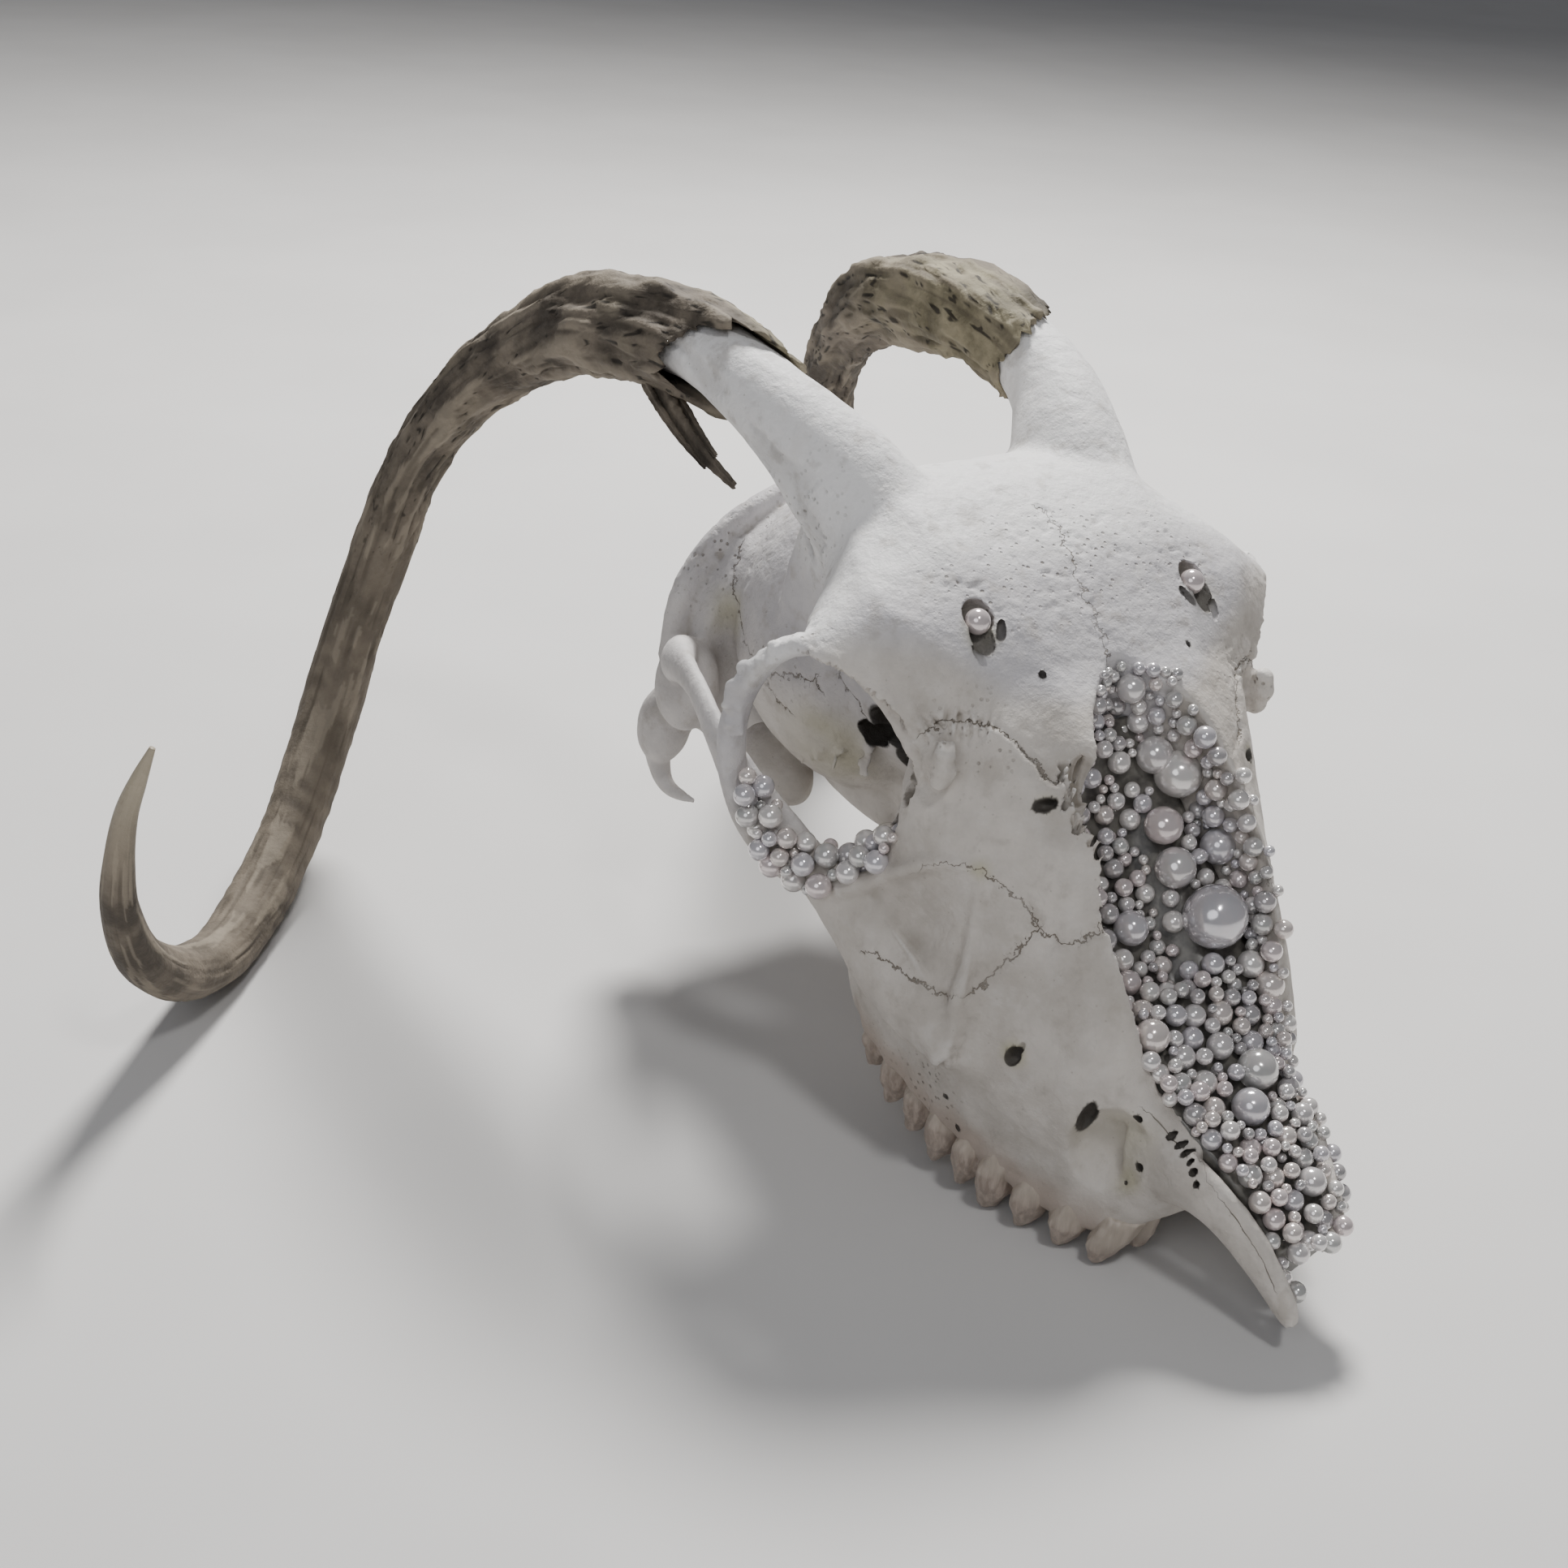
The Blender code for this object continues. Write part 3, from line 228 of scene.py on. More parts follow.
# Glue bed of the nose, dark glue that also stands in as painted shade in the depth between the pearls: y,
# height.
BED = (
    (134, 92), (128, 85), (120, 78), (110, 70), (100, 63), (90, 57), (80, 50.5), (70, 46), (60, 43),
    (50, 38.5), (42, 33),
)
# Large pearls of the nose: x, y, z, radius.
BIG_PEARLS = (
    (10.2, 97.9, 65.5, 6.6), (12.8, 122.4, 83, 5), (6.3, 108.9, 70.5, 4.3), (6.4, 115.8, 76.1, 4),
    (8.7, 126.5, 85.7, 4), (18, 110, 72.2, 3.8), (-5.7, 104.2, 61.4, 3.6), (-13.3, 83.4, 53.2, 3.5),
    (6.6, 71.4, 48.6, 4.2), (0.6, 65.3, 46.2, 3.9), (3.4, 134, 98.4, 3.1), (18.4, 85, 55.6, 3.1),
    (15.9, 89.5, 58.2, 2.9), (6.2, 49.2, 39.2, 3), (1.3, 78.1, 50.6, 2.8), (1, 128.1, 84.3, 2.5),
    (6.7, 132, 90.5, 2.4), (3.3, 136, 92.5, 2.1), (3.8, 102.3, 62.1, 2.4), (16.4, 117.1, 76.7, 1.9),
    (13.7, 114.3, 74.2, 1.7), (0.9, 109.4, 64.5, 2.1), (4.6, 105.8, 65.3, 1.9), (-5.9, 85.6, 54.4, 2.3),
    (5.3, 58.2, 43, 2.3), (0.6, 47.8, 37.5, 2.3), (-5.1, 46.2, 36.2, 2.3), (6.2, 43.3, 34.5, 2.1),
    (4.4, 38.5, 33.7, 2.2), (7.2, 91.7, 58.9, 2.4), (17.5, 81.8, 52.9, 2.1), (-10.4, 95.9, 55.3, 2.6),
    (1.1, 90.6, 54.7, 2.1), (-11, 74.5, 47.9, 2.2), (11.6, 61, 44.4, 2.3),
)
# Top of the left wall of the nose, and how far out its rim lies: y of each place, value.
WALL_TOP = ((62, 70, 77.5, 85, 98, 110, 121, 133), (42, 45, 50, 60, 77, 88, 97, 101))
LEFT_RIM = ((38, 60, 66, 77, 100, 112), (9, 13.5, 14.5, 18.5, 20.5, 18))
# Kinds of pearls, and the share of crystals.
ROUND_PEARL = 0
CRYSTAL = 1
CRYSTAL_SHARE = 0.035
PEARL_TINTS = np.array([(0.74, 0.72, 0.71), (0.76, 0.70, 0.66), (0.66, 0.65, 0.68), (0.76, 0.68, 0.67),
                        (0.80, 0.78, 0.75), (0.62, 0.62, 0.60), (0.50, 0.49, 0.49)])
# Pearl over each eye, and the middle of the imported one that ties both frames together.
BROW_PEARL = (27.9, 149.8, 109.6)
BROW_PEARL_RADIUS = 2.75
BROW_PEARL_CAD = (-27.7, 151.6, 110.4)
# Bone seams of the right side, through their corners.
SEAMS = {
    "frontal": (
        (-43.5, 139.6, 92.6), (-39.9, 138.8, 95.5), (-34.4, 135.9, 96.9), (-30.9, 131.8, 96.8),
        (-26.9, 125.1, 93.6), (-24.8, 121.6, 91.8), (-22.5, 119, 90)),
    "cheek": (
        (-50, 131, 44), (-47.6, 124.6, 45.6), (-45, 117.7, 46), (-40.7, 111.7, 45.2), (-37.4, 108.6, 51),
        (-34.5, 106.9, 57.9), (-31.8, 106.2, 63.5), (-30.2, 106.1, 67.4)),
    "tear": (
        (-43.9, 131.1, 64.6), (-40.9, 125.8, 70.9), (-37, 119.2, 73.2), (-33.2, 113.6, 71.5),
        (-30.9, 108.9, 69.7), (-30.2, 106.1, 67.4), (-28.6, 102.1, 66.6), (-25.8, 98.8, 68.8),
        (-21, 97.5, 74.5)),
    "temple": (
        (-24, 238, 76), (-26.3, 233.2, 69.7), (-29.4, 229.4, 65.1), (-30, 223.1, 60.5),
        (-31.7, 217.6, 58.3), (-32.9, 205, 56), (-31, 195, 52)),
    "crown": ((0, 201, 109), (-10, 199.5, 108.5), (-20, 204, 103), (-28, 207, 92)),
    "wall_a": (
        (-33.2, 204.5, 58), (-32.7, 202, 59.3), (-32.2, 197.9, 62.6), (-31, 194.3, 63.7),
        (-29.8, 190.8, 65), (-28.6, 188.3, 63.5)),
    "wall_b": (
        (-28.5, 186.5, 71.5), (-27.7, 185.6, 68.4), (-26.3, 181.5, 67.3), (-24.9, 178.9, 65.1),
        (-23.7, 178.3, 60.5)),
    "premax": ((-19, 74, 44), (-15, 60.1, 41), (-13.6, 48.1, 37), (-11.6, 41.2, 33), (-10, 36.3, 28.5)),
}
# Seams that meet are in different groups, so that each keeps a clean side-to-side value.
SEAM_GROUPS = (("frontal", "cheek", "temple", "wall_a"), ("tear", "crown", "wall_b"), ("premax",))
MIDLINE = (
    (0.6, 172, 118.5), (1.2, 163.3, 116.4), (-0.5, 155.5, 113.9), (-1.4, 148.6, 110.8),
    (-1.8, 142.2, 107.5), (-2, 136.3, 103.8),
)
# Shallow dishes in the side of the face: centre, reach along and up, depth.
DISHES = (
    ((44.5, 124, 55), (7.5, 8), 2.6), ((40, 116, 26), (11, 5), 0.9),
    ((41.2, 107.1, 34.5), (3.6, 5.5), -1.5), ((39, 111, 52), (2.6, 10), -0.9),
)
# Places with fine pores and places with a yellow stain: x, y, z, reach.
POROUS = (
    (8, 158, 114, 12), (24, 156, 112, 10), (36, 132, 96, 9), (28, 237, 68, 13), (36, 112, 18, 9),
    (34, 196, 106, 13), (10, 238, 60, 20), (30, 204, 62, 9), (26, 128, 16, 12), (58, 168, 100, 7),
)
STAINS = (
    (23, 74, 35, 9), (22.5, 70, 29, 5), (34.5, 97, 42, 3.6), (28.5, 147, 108, 5), (40, 140, 52, 6),
    (37, 119, 73, 3), (26.6, 118.5, 88, 2.6), (22, 190, 50, 16), (30, 226, 58, 8),
)
# Places that flake, and the depth of the orbit where shade is painted: x, y, z, reach.
FLAKY = ((39, 134, 93, 7), (27, 103, 68, 6), (42, 136, 86, 6))
ORBIT_DEPTH = ((33, 153, 78, 8),)
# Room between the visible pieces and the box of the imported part, and the floor, in metres.
INSET = 0.00004
FLOOR_REACH = 4.0
FLOOR_Z = -0.0004
SENSOR = 36.0
CAMERA_FOCAL = 2789.6944
PHOTO_SIDE = 1932
CAMERA_TURN = ((0.842501, 0.185218, -0.505854), (-0.534633, 0.402603, -0.74302),
               (0.066038, 0.896441, 0.438216))
# The camera's place from the skull's own origin, in metres.
CAMERA_FROM_ORIGIN = (-0.265422 - 0.02458931, -0.376292 + 0.1718726, 0.285059 + 0.02186111)


def add_object(name, data):
    obj = bpy.data.objects.new(name, data)
    bpy.context.scene.collection.objects.link(obj)
    return obj


def from_lists(name, verts, faces):
    mesh = bpy.data.meshes.new(name)
    mesh.from_pydata(verts, [], faces)
    return add_object(name, mesh)


def grid_mesh(name, points):
    """Surface through closed rows of points, with its first and last row capped."""
    rows, n = points.shape[:2]
    k = np.arange(rows - 1)[:, None] * n
    i = np.arange(n)[None, :]
    j = (i + 1) % n
    quads = np.stack([k + i, k + j, k + n + j, k + n + i], axis=-1).reshape(-1, 4)
    faces = [tuple(q) for q in quads.tolist()]
    faces += [tuple(reversed(range(n))), tuple(range((rows - 1) * n, rows * n))]
    obj = from_lists(name, points.reshape(-1, 3).tolist(), faces)
    obj.data.validate()
    return obj


def mirrored(p, side):
    return (p[0] * side, p[1], p[2])


def ball(centre, radii, rot=(0.0, 0.0, 0.0), seg=28, rings=18):
    bm = bmesh.new()
    bmesh.ops.create_uvsphere(bm, u_segments=seg, v_segments=rings, radius=1.0)
    turn = Euler([radians(a) for a in rot]).to_matrix().to_4x4()
    move = Matrix.Translation(centre) @ turn @ Matrix.Diagonal((*radii, 1.0))
    bmesh.ops.transform(bm, matrix=move, verts=bm.verts)
    mesh = bpy.data.meshes.new("ball")
    bm.to_mesh(mesh)
    bm.free()
    return add_object("ball", mesh)


def side_ball(side, centre, radii, rot=(0.0, 0.0, 0.0), seg=28, rings=18):
    """A ball of the left side, or its mirror image."""
    return ball(mirrored(centre, side), radii, (rot[0], rot[1], rot[2] * side), seg, rings)


def smooth_rows(rows, count):
    """Catmull-Rom values between rows, evenly in the row number."""
    pts = np.array(rows, dtype=float)
    last = len(pts) - 1
    t = np.arange(count) * last / (count - 1)
    i = np.minimum(t.astype(int), last - 1)
    u = (t - i)[:, None]
    p0, p1, p2, p3 = pts[np.maximum(i - 1, 0)], pts[i], pts[i + 1], pts[np.minimum(i + 2, last)]
    c = 2.0 * p0 - 5.0 * p1 + 4.0 * p2 - p3
    d = 3.0 * p1 - p0 - 3.0 * p2 + p3
    return 0.5 * (2.0 * p1 + (p2 - p0) * u + c * u * u + d * u ** 3)


def angles(count):
    return [tau * i / count for i in range(count)]


def loft(name, rings):
    obj = grid_mesh(name, np.array([[tuple(p) for p in ring] for ring in rings]))
    bm = bmesh.new()
    bm.from_mesh(obj.data)
    bmesh.ops.triangulate(bm, faces=[f for f in bm.faces if len(f.verts) > 4])
    bmesh.ops.recalc_face_normals(bm, faces=bm.faces)
    bm.to_mesh(obj.data)
    bm.free()
    return obj


def section_loft(name, table, count):
    flat = [[r[0]] + [v for pair in r[1:6] for v in pair] + [r[6]] for r in table]
    rings = []
    for row in smooth_rows(flat, count):
        side = [(row[1 + 2 * i], row[2 + 2 * i]) for i in range(5)]
        half = [(0.0, side[0][1])] + side + [(0.0, row[11])]
        ring = [(x, row[0], z) for x, z in half]
        rings.append(ring + [(-x, row[0], z) for x, z in reversed(half[1:-1])])
    return loft(name, rings)


def bar(name, table, side, count=30, around=14, up=UP, rng=None, curl=0.0):
    """Oval bar along a path: half height and half thickness at each place, ragged if rng is given."""
    rows = smooth_rows(table, count)
    rings = []
    for k, row in enumerate(rows):
        a, here, b = (Vector(rows[i][:3]) for i in (max(k - 1, 0), k, min(k + 1, count - 1)))
        along = (b - a).normalized()
        across = along.cross(up).normalized()
        tall = across.cross(along).normalized()
        high = row[3] * rng.uniform(0.8, 1.1) if rng else row[3]
        ring = [here + tall * (cos(a) * high) + across * (sin(a) * row[4] + curl * sin(a * 3))
                for a in angles(around)]
        rings.append([mirrored(p, side) for p in ring])
    return loft(name, rings)


def tube(table, side, count, around):
    return bar("path", [(*r, r[3]) for r in table], side, count, around)


def join(objects, name):
    bpy.ops.object.select_all(action="DESELECT")
    for obj in objects:
        obj.select_set(True)
    bpy.context.view_layer.objects.active = objects[0]
    bpy.ops.object.join()
    objects[0].name = name
    return objects[0]


def bake(obj):
    dep = bpy.context.evaluated_depsgraph_get()
    mesh = bpy.data.meshes.new_from_object(obj.evaluated_get(dep))
    old = obj.data
    obj.modifiers.clear()
    obj.data = mesh
    bpy.data.meshes.remove(old)
    return obj


def voxel(obj, size, passes):
    mod = obj.modifiers.new("skin", "REMESH")
    mod.mode = "VOXEL"
    mod.voxel_size = size
    soft = obj.modifiers.new("soft", "SMOOTH")
    soft.iterations = passes
    return bake(obj)


def cut(obj, cutters):
    coll = bpy.data.collections.new("tools")
    bpy.context.scene.collection.children.link(coll)
    for cutter in cutters:
        for home in list(cutter.users_collection):
            home.objects.unlink(cutter)
        coll.objects.link(cutter)
    mod = obj.modifiers.new("cut", "BOOLEAN")
    mod.operation = "DIFFERENCE"
    mod.operand_type = "COLLECTION"
    mod.collection = coll
    mod.solver = "MANIFOLD"
    bake(obj)
    for cutter in cutters:
        bpy.data.objects.remove(cutter, do_unlink=True)
    bpy.data.collections.remove(coll)


def prism(points, low, high, axis):
    rings = []
    for value in (low, high):
        ring = [list(p) for p in points]
        for p in ring:
            p.insert(axis, value)
        rings.append(ring)
    return loft("prism", rings)


def lattice(ix, iy, iz, seed):
    h = (ix * 374761393 + iy * 668265263 + iz * 1440662683 + seed * 974634777) & 0xFFFFFFFF
    h = ((h ^ (h >> 13)) * 1274126177) & 0xFFFFFFFF
    return ((h ^ (h >> 16)) & 0xFFFF) / 32767.5 - 1.0


def noise(points, size, seed=0):
    """Smooth random values from -1 to 1 on a lattice of the given cell size."""
    q = points / size
    i = np.floor(q).astype(np.int64)
    f = q - i
    f = f * f * (3.0 - 2.0 * f)
    out = np.zeros(len(points))
    for dx, dy, dz in np.ndindex(2, 2, 2):
        w = np.abs(1 - dx - f[:, 0]) * np.abs(1 - dy - f[:, 1]) * np.abs(1 - dz - f[:, 2])
        out += w * lattice(i[:, 0] + dx, i[:, 1] + dy, i[:, 2] + dz, seed)
    return out


def rough(points, size, octaves=3, seed=0):
    out = np.zeros(len(points))
    for k in range(octaves):
        out += 0.5 ** k * noise(points, size / 2.0 ** k, seed + 13 * k)
    return out


def columns(*values):
    return np.stack(np.broadcast_arrays(*values), axis=1)


def step(x, low, high):
    t = np.clip((x - low) / (high - low), 0.0, 1.0)
    return t * t * (3.0 - 2.0 * t)


def bell(distance, reach):
    return np.exp(-(distance / reach) ** 2)


def coords(obj):
    co = np.zeros(len(obj.data.vertices) * 3)
    obj.data.vertices.foreach_get("co", co)
    return co.reshape(-1, 3)


def normals(obj):
    no = np.zeros(len(obj.data.vertices) * 3)
    obj.data.vertex_normals.foreach_get("vector", no)
    return no.reshape(-1, 3)


def set_coords(obj, co):
    obj.data.vertices.foreach_set("co", np.ascontiguousarray(co, dtype=np.float32).ravel())
    obj.data.update()


def set_values(obj, **values):
    for name, value in values.items():
        attr = obj.data.attributes.new(name, "FLOAT", "POINT")
        attr.data.foreach_set("value", np.ascontiguousarray(value, dtype=np.float32))


def hollows(obj, passes):
    """How far each point stands out from its smoothed surroundings, in millimetres."""
    co = coords(obj)
    edges = np.zeros(len(obj.data.edges) * 2, dtype=np.int64)
    obj.data.edges.foreach_get("vertices", edges)
    a, b = edges.reshape(-1, 2).T
    count = np.bincount(a, minlength=len(co)) + np.bincount(b, minlength=len(co))
    soft = co.copy()
    for _ in range(passes):
        total = np.zeros_like(soft)
        for k in range(3):
            total[:, k] = np.bincount(a, soft[b, k], len(co)) + np.bincount(b, soft[a, k], len(co))
        soft = 0.3 * soft + 0.7 * total / np.maximum(count, 1)[:, None]
    return ((co - soft) * normals(obj)).sum(axis=1)


def along_path(path, spacing):
    """Evenly spaced places on a path of straight runs."""
    pts = np.array(path, dtype=float)
    run = run_length(pts)
    s = np.arange(0.0, run[-1], spacing)
    return np.stack([np.interp(s, run, pts[:, k]) for k in range(3)], axis=1)


def run_length(pts):
    return np.concatenate([[0.0], np.cumsum(np.linalg.norm(np.diff(pts, axis=0), axis=1))])


def wriggle(points, spacing, amount, seed):
    """Points along a line, evenly spaced, moved a little to and fro."""
    line = along_path(points, spacing)
    return line + np.random.default_rng(seed).normal(0.0, amount, line.shape)


def line_distance(co, no, line):
    """Distance of every point to a line, how far along it the nearest place is, and on which side."""
    out = np.tile((FAR, 0.0, 1.0), (len(co), 1))
    near = ((co > line.min(axis=0) - LINE_REACH) & (co < line.max(axis=0) + LINE_REACH)).all(axis=1)
    pts = co[near]
    best = out[near]
    run = 0.0
    for a, b in zip(line, line[1:]):
        ab = b - a
        size = float(np.linalg.norm(ab))
        t = np.clip(((pts - a) @ ab) / max(size * size, 1e-9), 0.0, 1.0)
        off = pts - a - t[:, None] * ab
        d = np.linalg.norm(off, axis=1)
        turn = np.sign((np.cross(ab, off) * no[near]).sum(axis=1))
        best = np.where((d < best[:, 0])[:, None], columns(d, run + t * size, turn), best)
        run += size
    out[near] = best
    return out.T


def rim_rows(start=0.0, stop=360.0, count=33, scale=1.0):
    """Places on the rim of the orbit, and their angles."""
    out = []
    for k in range(count):
        ang = radians(start + (stop - start) * k / (count - 1))
        fore = 1.0 + ORBIT_FORE * max(0.0, -cos(ang)) ** 2
        high = 1.0 + ORBIT_HIGH * max(0.0, sin(ang)) ** 2
        out.append((ORBIT_CENTRE + (ORBIT_ALONG * cos(ang) * fore + ORBIT_UP * sin(ang) * high) * scale, ang))
    return out


def orbit_rim(side):
    rings = []
    normal = ORBIT_ALONG.cross(ORBIT_UP).normalized()
    for p, ang in rim_rows(count=61):
        out = (p - ORBIT_CENTRE).normalized()
        thin = 1.0 - 0.5 * max(0.0, cos(ang - radians(120.0))) ** 2
        rings.append([mirrored(p + out * (cos(a) * ORBIT_TUBE * 0.85 * thin)
                               + normal * (sin(a) * ORBIT_TUBE * 1.25 * thin), side) for a in angles(16)])
    return loft("rim", rings)


def rim_knobs(side, rng):
    """Blocky knobs along the rim of the orbit, a cluster before it, and a rough free edge of the forehead."""
    u = rng.uniform
    out = []
    for p in along_path(KNOBS, 1.9):
        r = u(0.8, 1.5)
        turn = (u(-40.0, 40.0), u(-40.0, 40.0), u(-40.0, 40.0))
        place = (p[0] + u(-0.8, 0.4), p[1] + u(-0.8, 0.6), p[2] + u(-0.5, 0.5))
        out.append(ball(mirrored(place, side), (r * 1.35, r * 1.2, r * 0.9), turn, 12, 8))
        if rng.random() < 0.7:
            r = u(0.8, 1.2)
            out.append(side_ball(side, p + np.array((-1.6, -1.6, 0.4)), (r * 1.2, r, r), seg=10, rings=7))
    for _ in range(26):
        a, reach, r = u(0.0, ROUND), u(0.0, 3.4), u(1.5, 2.4)
        place = (41.4 + u(-0.6, 0.9), 134.8 + cos(a) * reach, 89.4 + sin(a) * reach * 1.3)
        out.append(side_ball(side, place, (r, r, r), seg=12, rings=8))
    for p in along_path(BROW_EDGE, 1.5):
        r = u(0.7, 1.2)
        out.append(side_ball(side, (p[0], p[1], p[2] + u(-0.5, 0.5)), (r, r, r * 0.9), seg=10, rings=7))
    return out


def splinter(side, start, end, thick, thin, rng):
    out = []
    for k in range(9):
        p = np.array(start) + (np.array(end) - np.array(start)) * k / 8.0
        r = (thick + (thin - thick) * k / 8.0) * rng.uniform(0.6, 1.0)
        q = p + np.array([rng.uniform(-0.3, 0.3) * r, rng.uniform(-0.9, 0.9) * r, 0.0])
        out.append(side_ball(side, q, (r * 0.45, r * 0.9, r * 0.8), seg=9, rings=7))
    return out


def nasal_cut():
    rng = random.Random(SEED)
    rings = []
    for y, rim, inner, floor in smooth_rows(NASAL, 90):
        mid = floor + (NASAL_TOP - floor) * 0.28
        ragged = rim + rng.uniform(-0.45, 0.7)
        other = rim + rng.uniform(-0.25, 0.3)
        half = (NASAL_TOP, mid + 14.0)
        low = [(inner, mid), (inner * 0.8, floor), (0.0, floor - 1.0)]
        ring = [(other, y, z) for z in half] + [(x, y, z) for x, z in low]
        ring += [(-x, y, z) for x, z in reversed(low[:-1])]
        rings.append(ring + [(-ragged, y, z) for z in reversed(half)])
    return loft("nasal", rings)


def left_shift(rows):
    """The far horn stands a little closer to the middle and bends closer in."""
    out = []
    for x, y, z, r in rows:
        far = max(0.0, x - 80.0)
        near = float(np.interp(y, *LEFT_NEAR)) if z > 20.0 and x <= 100.0 else 0.0
        out.append((x - far * 0.52 - near, y + far * 0.20, z - far * 0.05, r))
    return out


def core_rows(side):
    return CORE if side < 0 else left_shift(CORE)


def skull_forms():
    parts = [section_loft("face", FACE, 34), section_loft("brow", BROW, 32), ball(*BRAIN_CASE)]
    plate = list(NAPE_PLATE) + [(-x, z) for x, z in reversed(NAPE_PLATE[1:-1])]
    parts.append(prism(plate, 228.0, 242.0, 1))
    parts += [ball(*form) for form in BASE_BALLS]
    for s, _ in SIDES:
        parts.append(tube(core_rows(s), s, 24, 18))
        parts.append(side_ball(s, *JAW_TUBER))
    body = voxel(join(parts, "body"), VOXEL_BODY, 6)
    cuts = [nasal_cut()]
    for s, _ in SIDES:
        cuts += [side_ball(s, *form) for form in SIDE_CUTS]
    cut(body, cuts + [ball(*form) for form in PALATE_CUTS])
    more = [body]
    rng = random.Random(SEED + 1)
    for s, _ in SIDES:
        more += [bar("cheek", CHEEK, s, 36), bar("premax", PREMAX, s, 24), orbit_rim(s)]
        more += rim_knobs(s, rng)
        for row in SPLINTERS:
            more += splinter(s, *row, rng)
        more += [tube(CREST, s, 20, 12), tube(RIDGE, s, 16, 10), tube(SHIN, s, 16, 10)]
        more += [side_ball(s, *form) for form in EAR_BALLS]
        more.append(bar("hook", HOOK, s, 26, 14, Vector((1.0, 0.0, 0.0))))
        more.append(side_ball(s, *PTERYGOID))
    return voxel(join(more, "body"), VOXEL_FINE, 5)


def face_holes():
    rng = random.Random(SEED + 3)
    u = rng.uniform
    cuts = [ball(*NAPE_HOLE)]
    for s, _ in SIDES:
        for centre, radii, turn, _dark in HOLES:
            cuts.append(side_ball(s, centre, radii, (0.0, 0.0, turn), 24, 14))
        for p in along_path(BROW_EDGE, 1.25):
            r = u(0.35, 0.75)
            cuts.append(side_ball(s, p + np.array((0.9, -0.2, -1.2)), (r * 2.0, r, r * 2.4), seg=10, rings=7))
        for _ in range(46):
            a = u(0.0, ROUND)
            q = (41.0 + u(-1.0, 2.0), 143.5 + cos(a) * 4.5, 76.0 + sin(a) * 12.0)
            r = u(0.9, 2.2)
            cuts.append(side_ball(s, q, (r * 1.6, r, r), (u(0.0, 90.0), 0.0, 0.0), 10, 7))
    for x, y, z, r in NOTCH:
        cuts.append(ball((x + 0.8, y, z), (r * 0.8, r * 0.8, r * 1.6), seg=10, rings=8))
        for _ in range(9):
            a, small = u(0.0, ROUND), u(0.7, 1.6)
            place = (x + cos(a) * r * 0.8, y + sin(a) * r * 0.85, z + u(-1.5, 1.5))
            cuts.append(ball(place, (small, small * 0.7, small * 3.4), (0.0, 0.0, u(0.0, 180.0)), 7, 6))
    return cuts


def nearest_on(rows, co):
    """For each point the nearest row of a path: its number and the distance."""
    best = np.full(len(co), 1e9)
    who = np.zeros(len(co), dtype=int)
    for k, r in enumerate(rows):
        d = np.linalg.norm(co - r[:3], axis=1)
        who = np.where(d < best, k, who)
        best = np.minimum(best, d)
    return who, best


def patches(co, table):
    """Soft patches on both sides: centre, reach."""
    out = np.zeros(len(co))
    for cx, cy, cz, r in table:
        d = columns(np.abs(co[:, 0]) - cx, co[:, 1] - cy, co[:, 2] - cz)
        out = np.maximum(out, bell(np.linalg.norm(d, axis=1), r))
    return out


def seam_relief(obj, co, no, move):
    """Add grooves along the seams to move, and keep the signed distances to them for the material."""
    flip = np.where(co[:, 0] > 0.0, -1.0, 1.0)[:, None] ** np.array((1, 0, 0))
    right, right_no = co * flip, no * flip
    near = np.full(len(co), SEAM_REACH)
    for letter, names in zip("abc", SEAM_GROUPS):
        group, signed = np.full((2, len(co)), SEAM_REACH)
        for name in names:
            line = wriggle(SEAMS[name], 1.3, 0.12 if name == "premax" else 0.34, 20 + len(name))
            d, s, turn = line_distance(right, right_no, line)
            signed = np.where(d < group, d * turn, signed)
            group = np.minimum(group, d)
            move -= 0.42 * bell(d, 0.7)
            if name == "frontal":
                comb = np.sin(s * tau / 2.1 + 2.0 * noise(co, 3.0, 4))
                band = bell(d, 3.2) * step(18.0 - s, 0.0, 5.0)
                move += band * (0.75 * comb + 0.8 * noise(co, 1.9, 5))
                move += 0.5 * step(d * -turn, 0.0, 0.6) * bell(d, 5.0)
            if name == "tear":
                move += bell(d, 2.6) * step(s, 26.0, 30.0) * 0.5 * noise(co, 1.9, 6)
        near = np.minimum(near, group)
        set_values(obj, **{"seam_" + letter: np.clip(signed, -4.0, 4.0)})
    d, s, turn = line_distance(co, no, wriggle(MIDLINE, 1.0, 0.6, 40))
    move -= 0.25 * bell(d, 0.8)
    move += bell(d, 3.0) * 0.22 * noise(co * np.array([1.0, 2.4, 1.0]), 1.9, 8)
    set_values(obj, seam_mid=np.clip(d * turn, -4.0, 4.0), near=np.minimum(near, d))


def core_grooves(co):
    """Grooves along the lower and outer side of the horn cores."""
    core = np.zeros(len(co))
    for s, _ in SIDES:
        rows = smooth_rows(core_rows(s), 60)
        rows[:, 0] *= s
        who, dist = nearest_on(rows, co)
        out = co - rows[who, :3]
        lateral = out[:, 0] * s / np.maximum(dist, 1.0)
        below = -out[:, 2] / np.maximum(dist, 1.0)
        on = (dist < rows[who, 3] * 1.25) & (who > 2)
        lines = noise(columns(np.arctan2(out[:, 2], out[:, 0] * s) * 3.4, who * 0.16, 0.0), 1.0, 12)
        core = np.maximum(core, step(lines, 0.12, 0.6) * step(lateral * 0.8 + below * 0.8, 0.15, 0.75) * on)
    return core


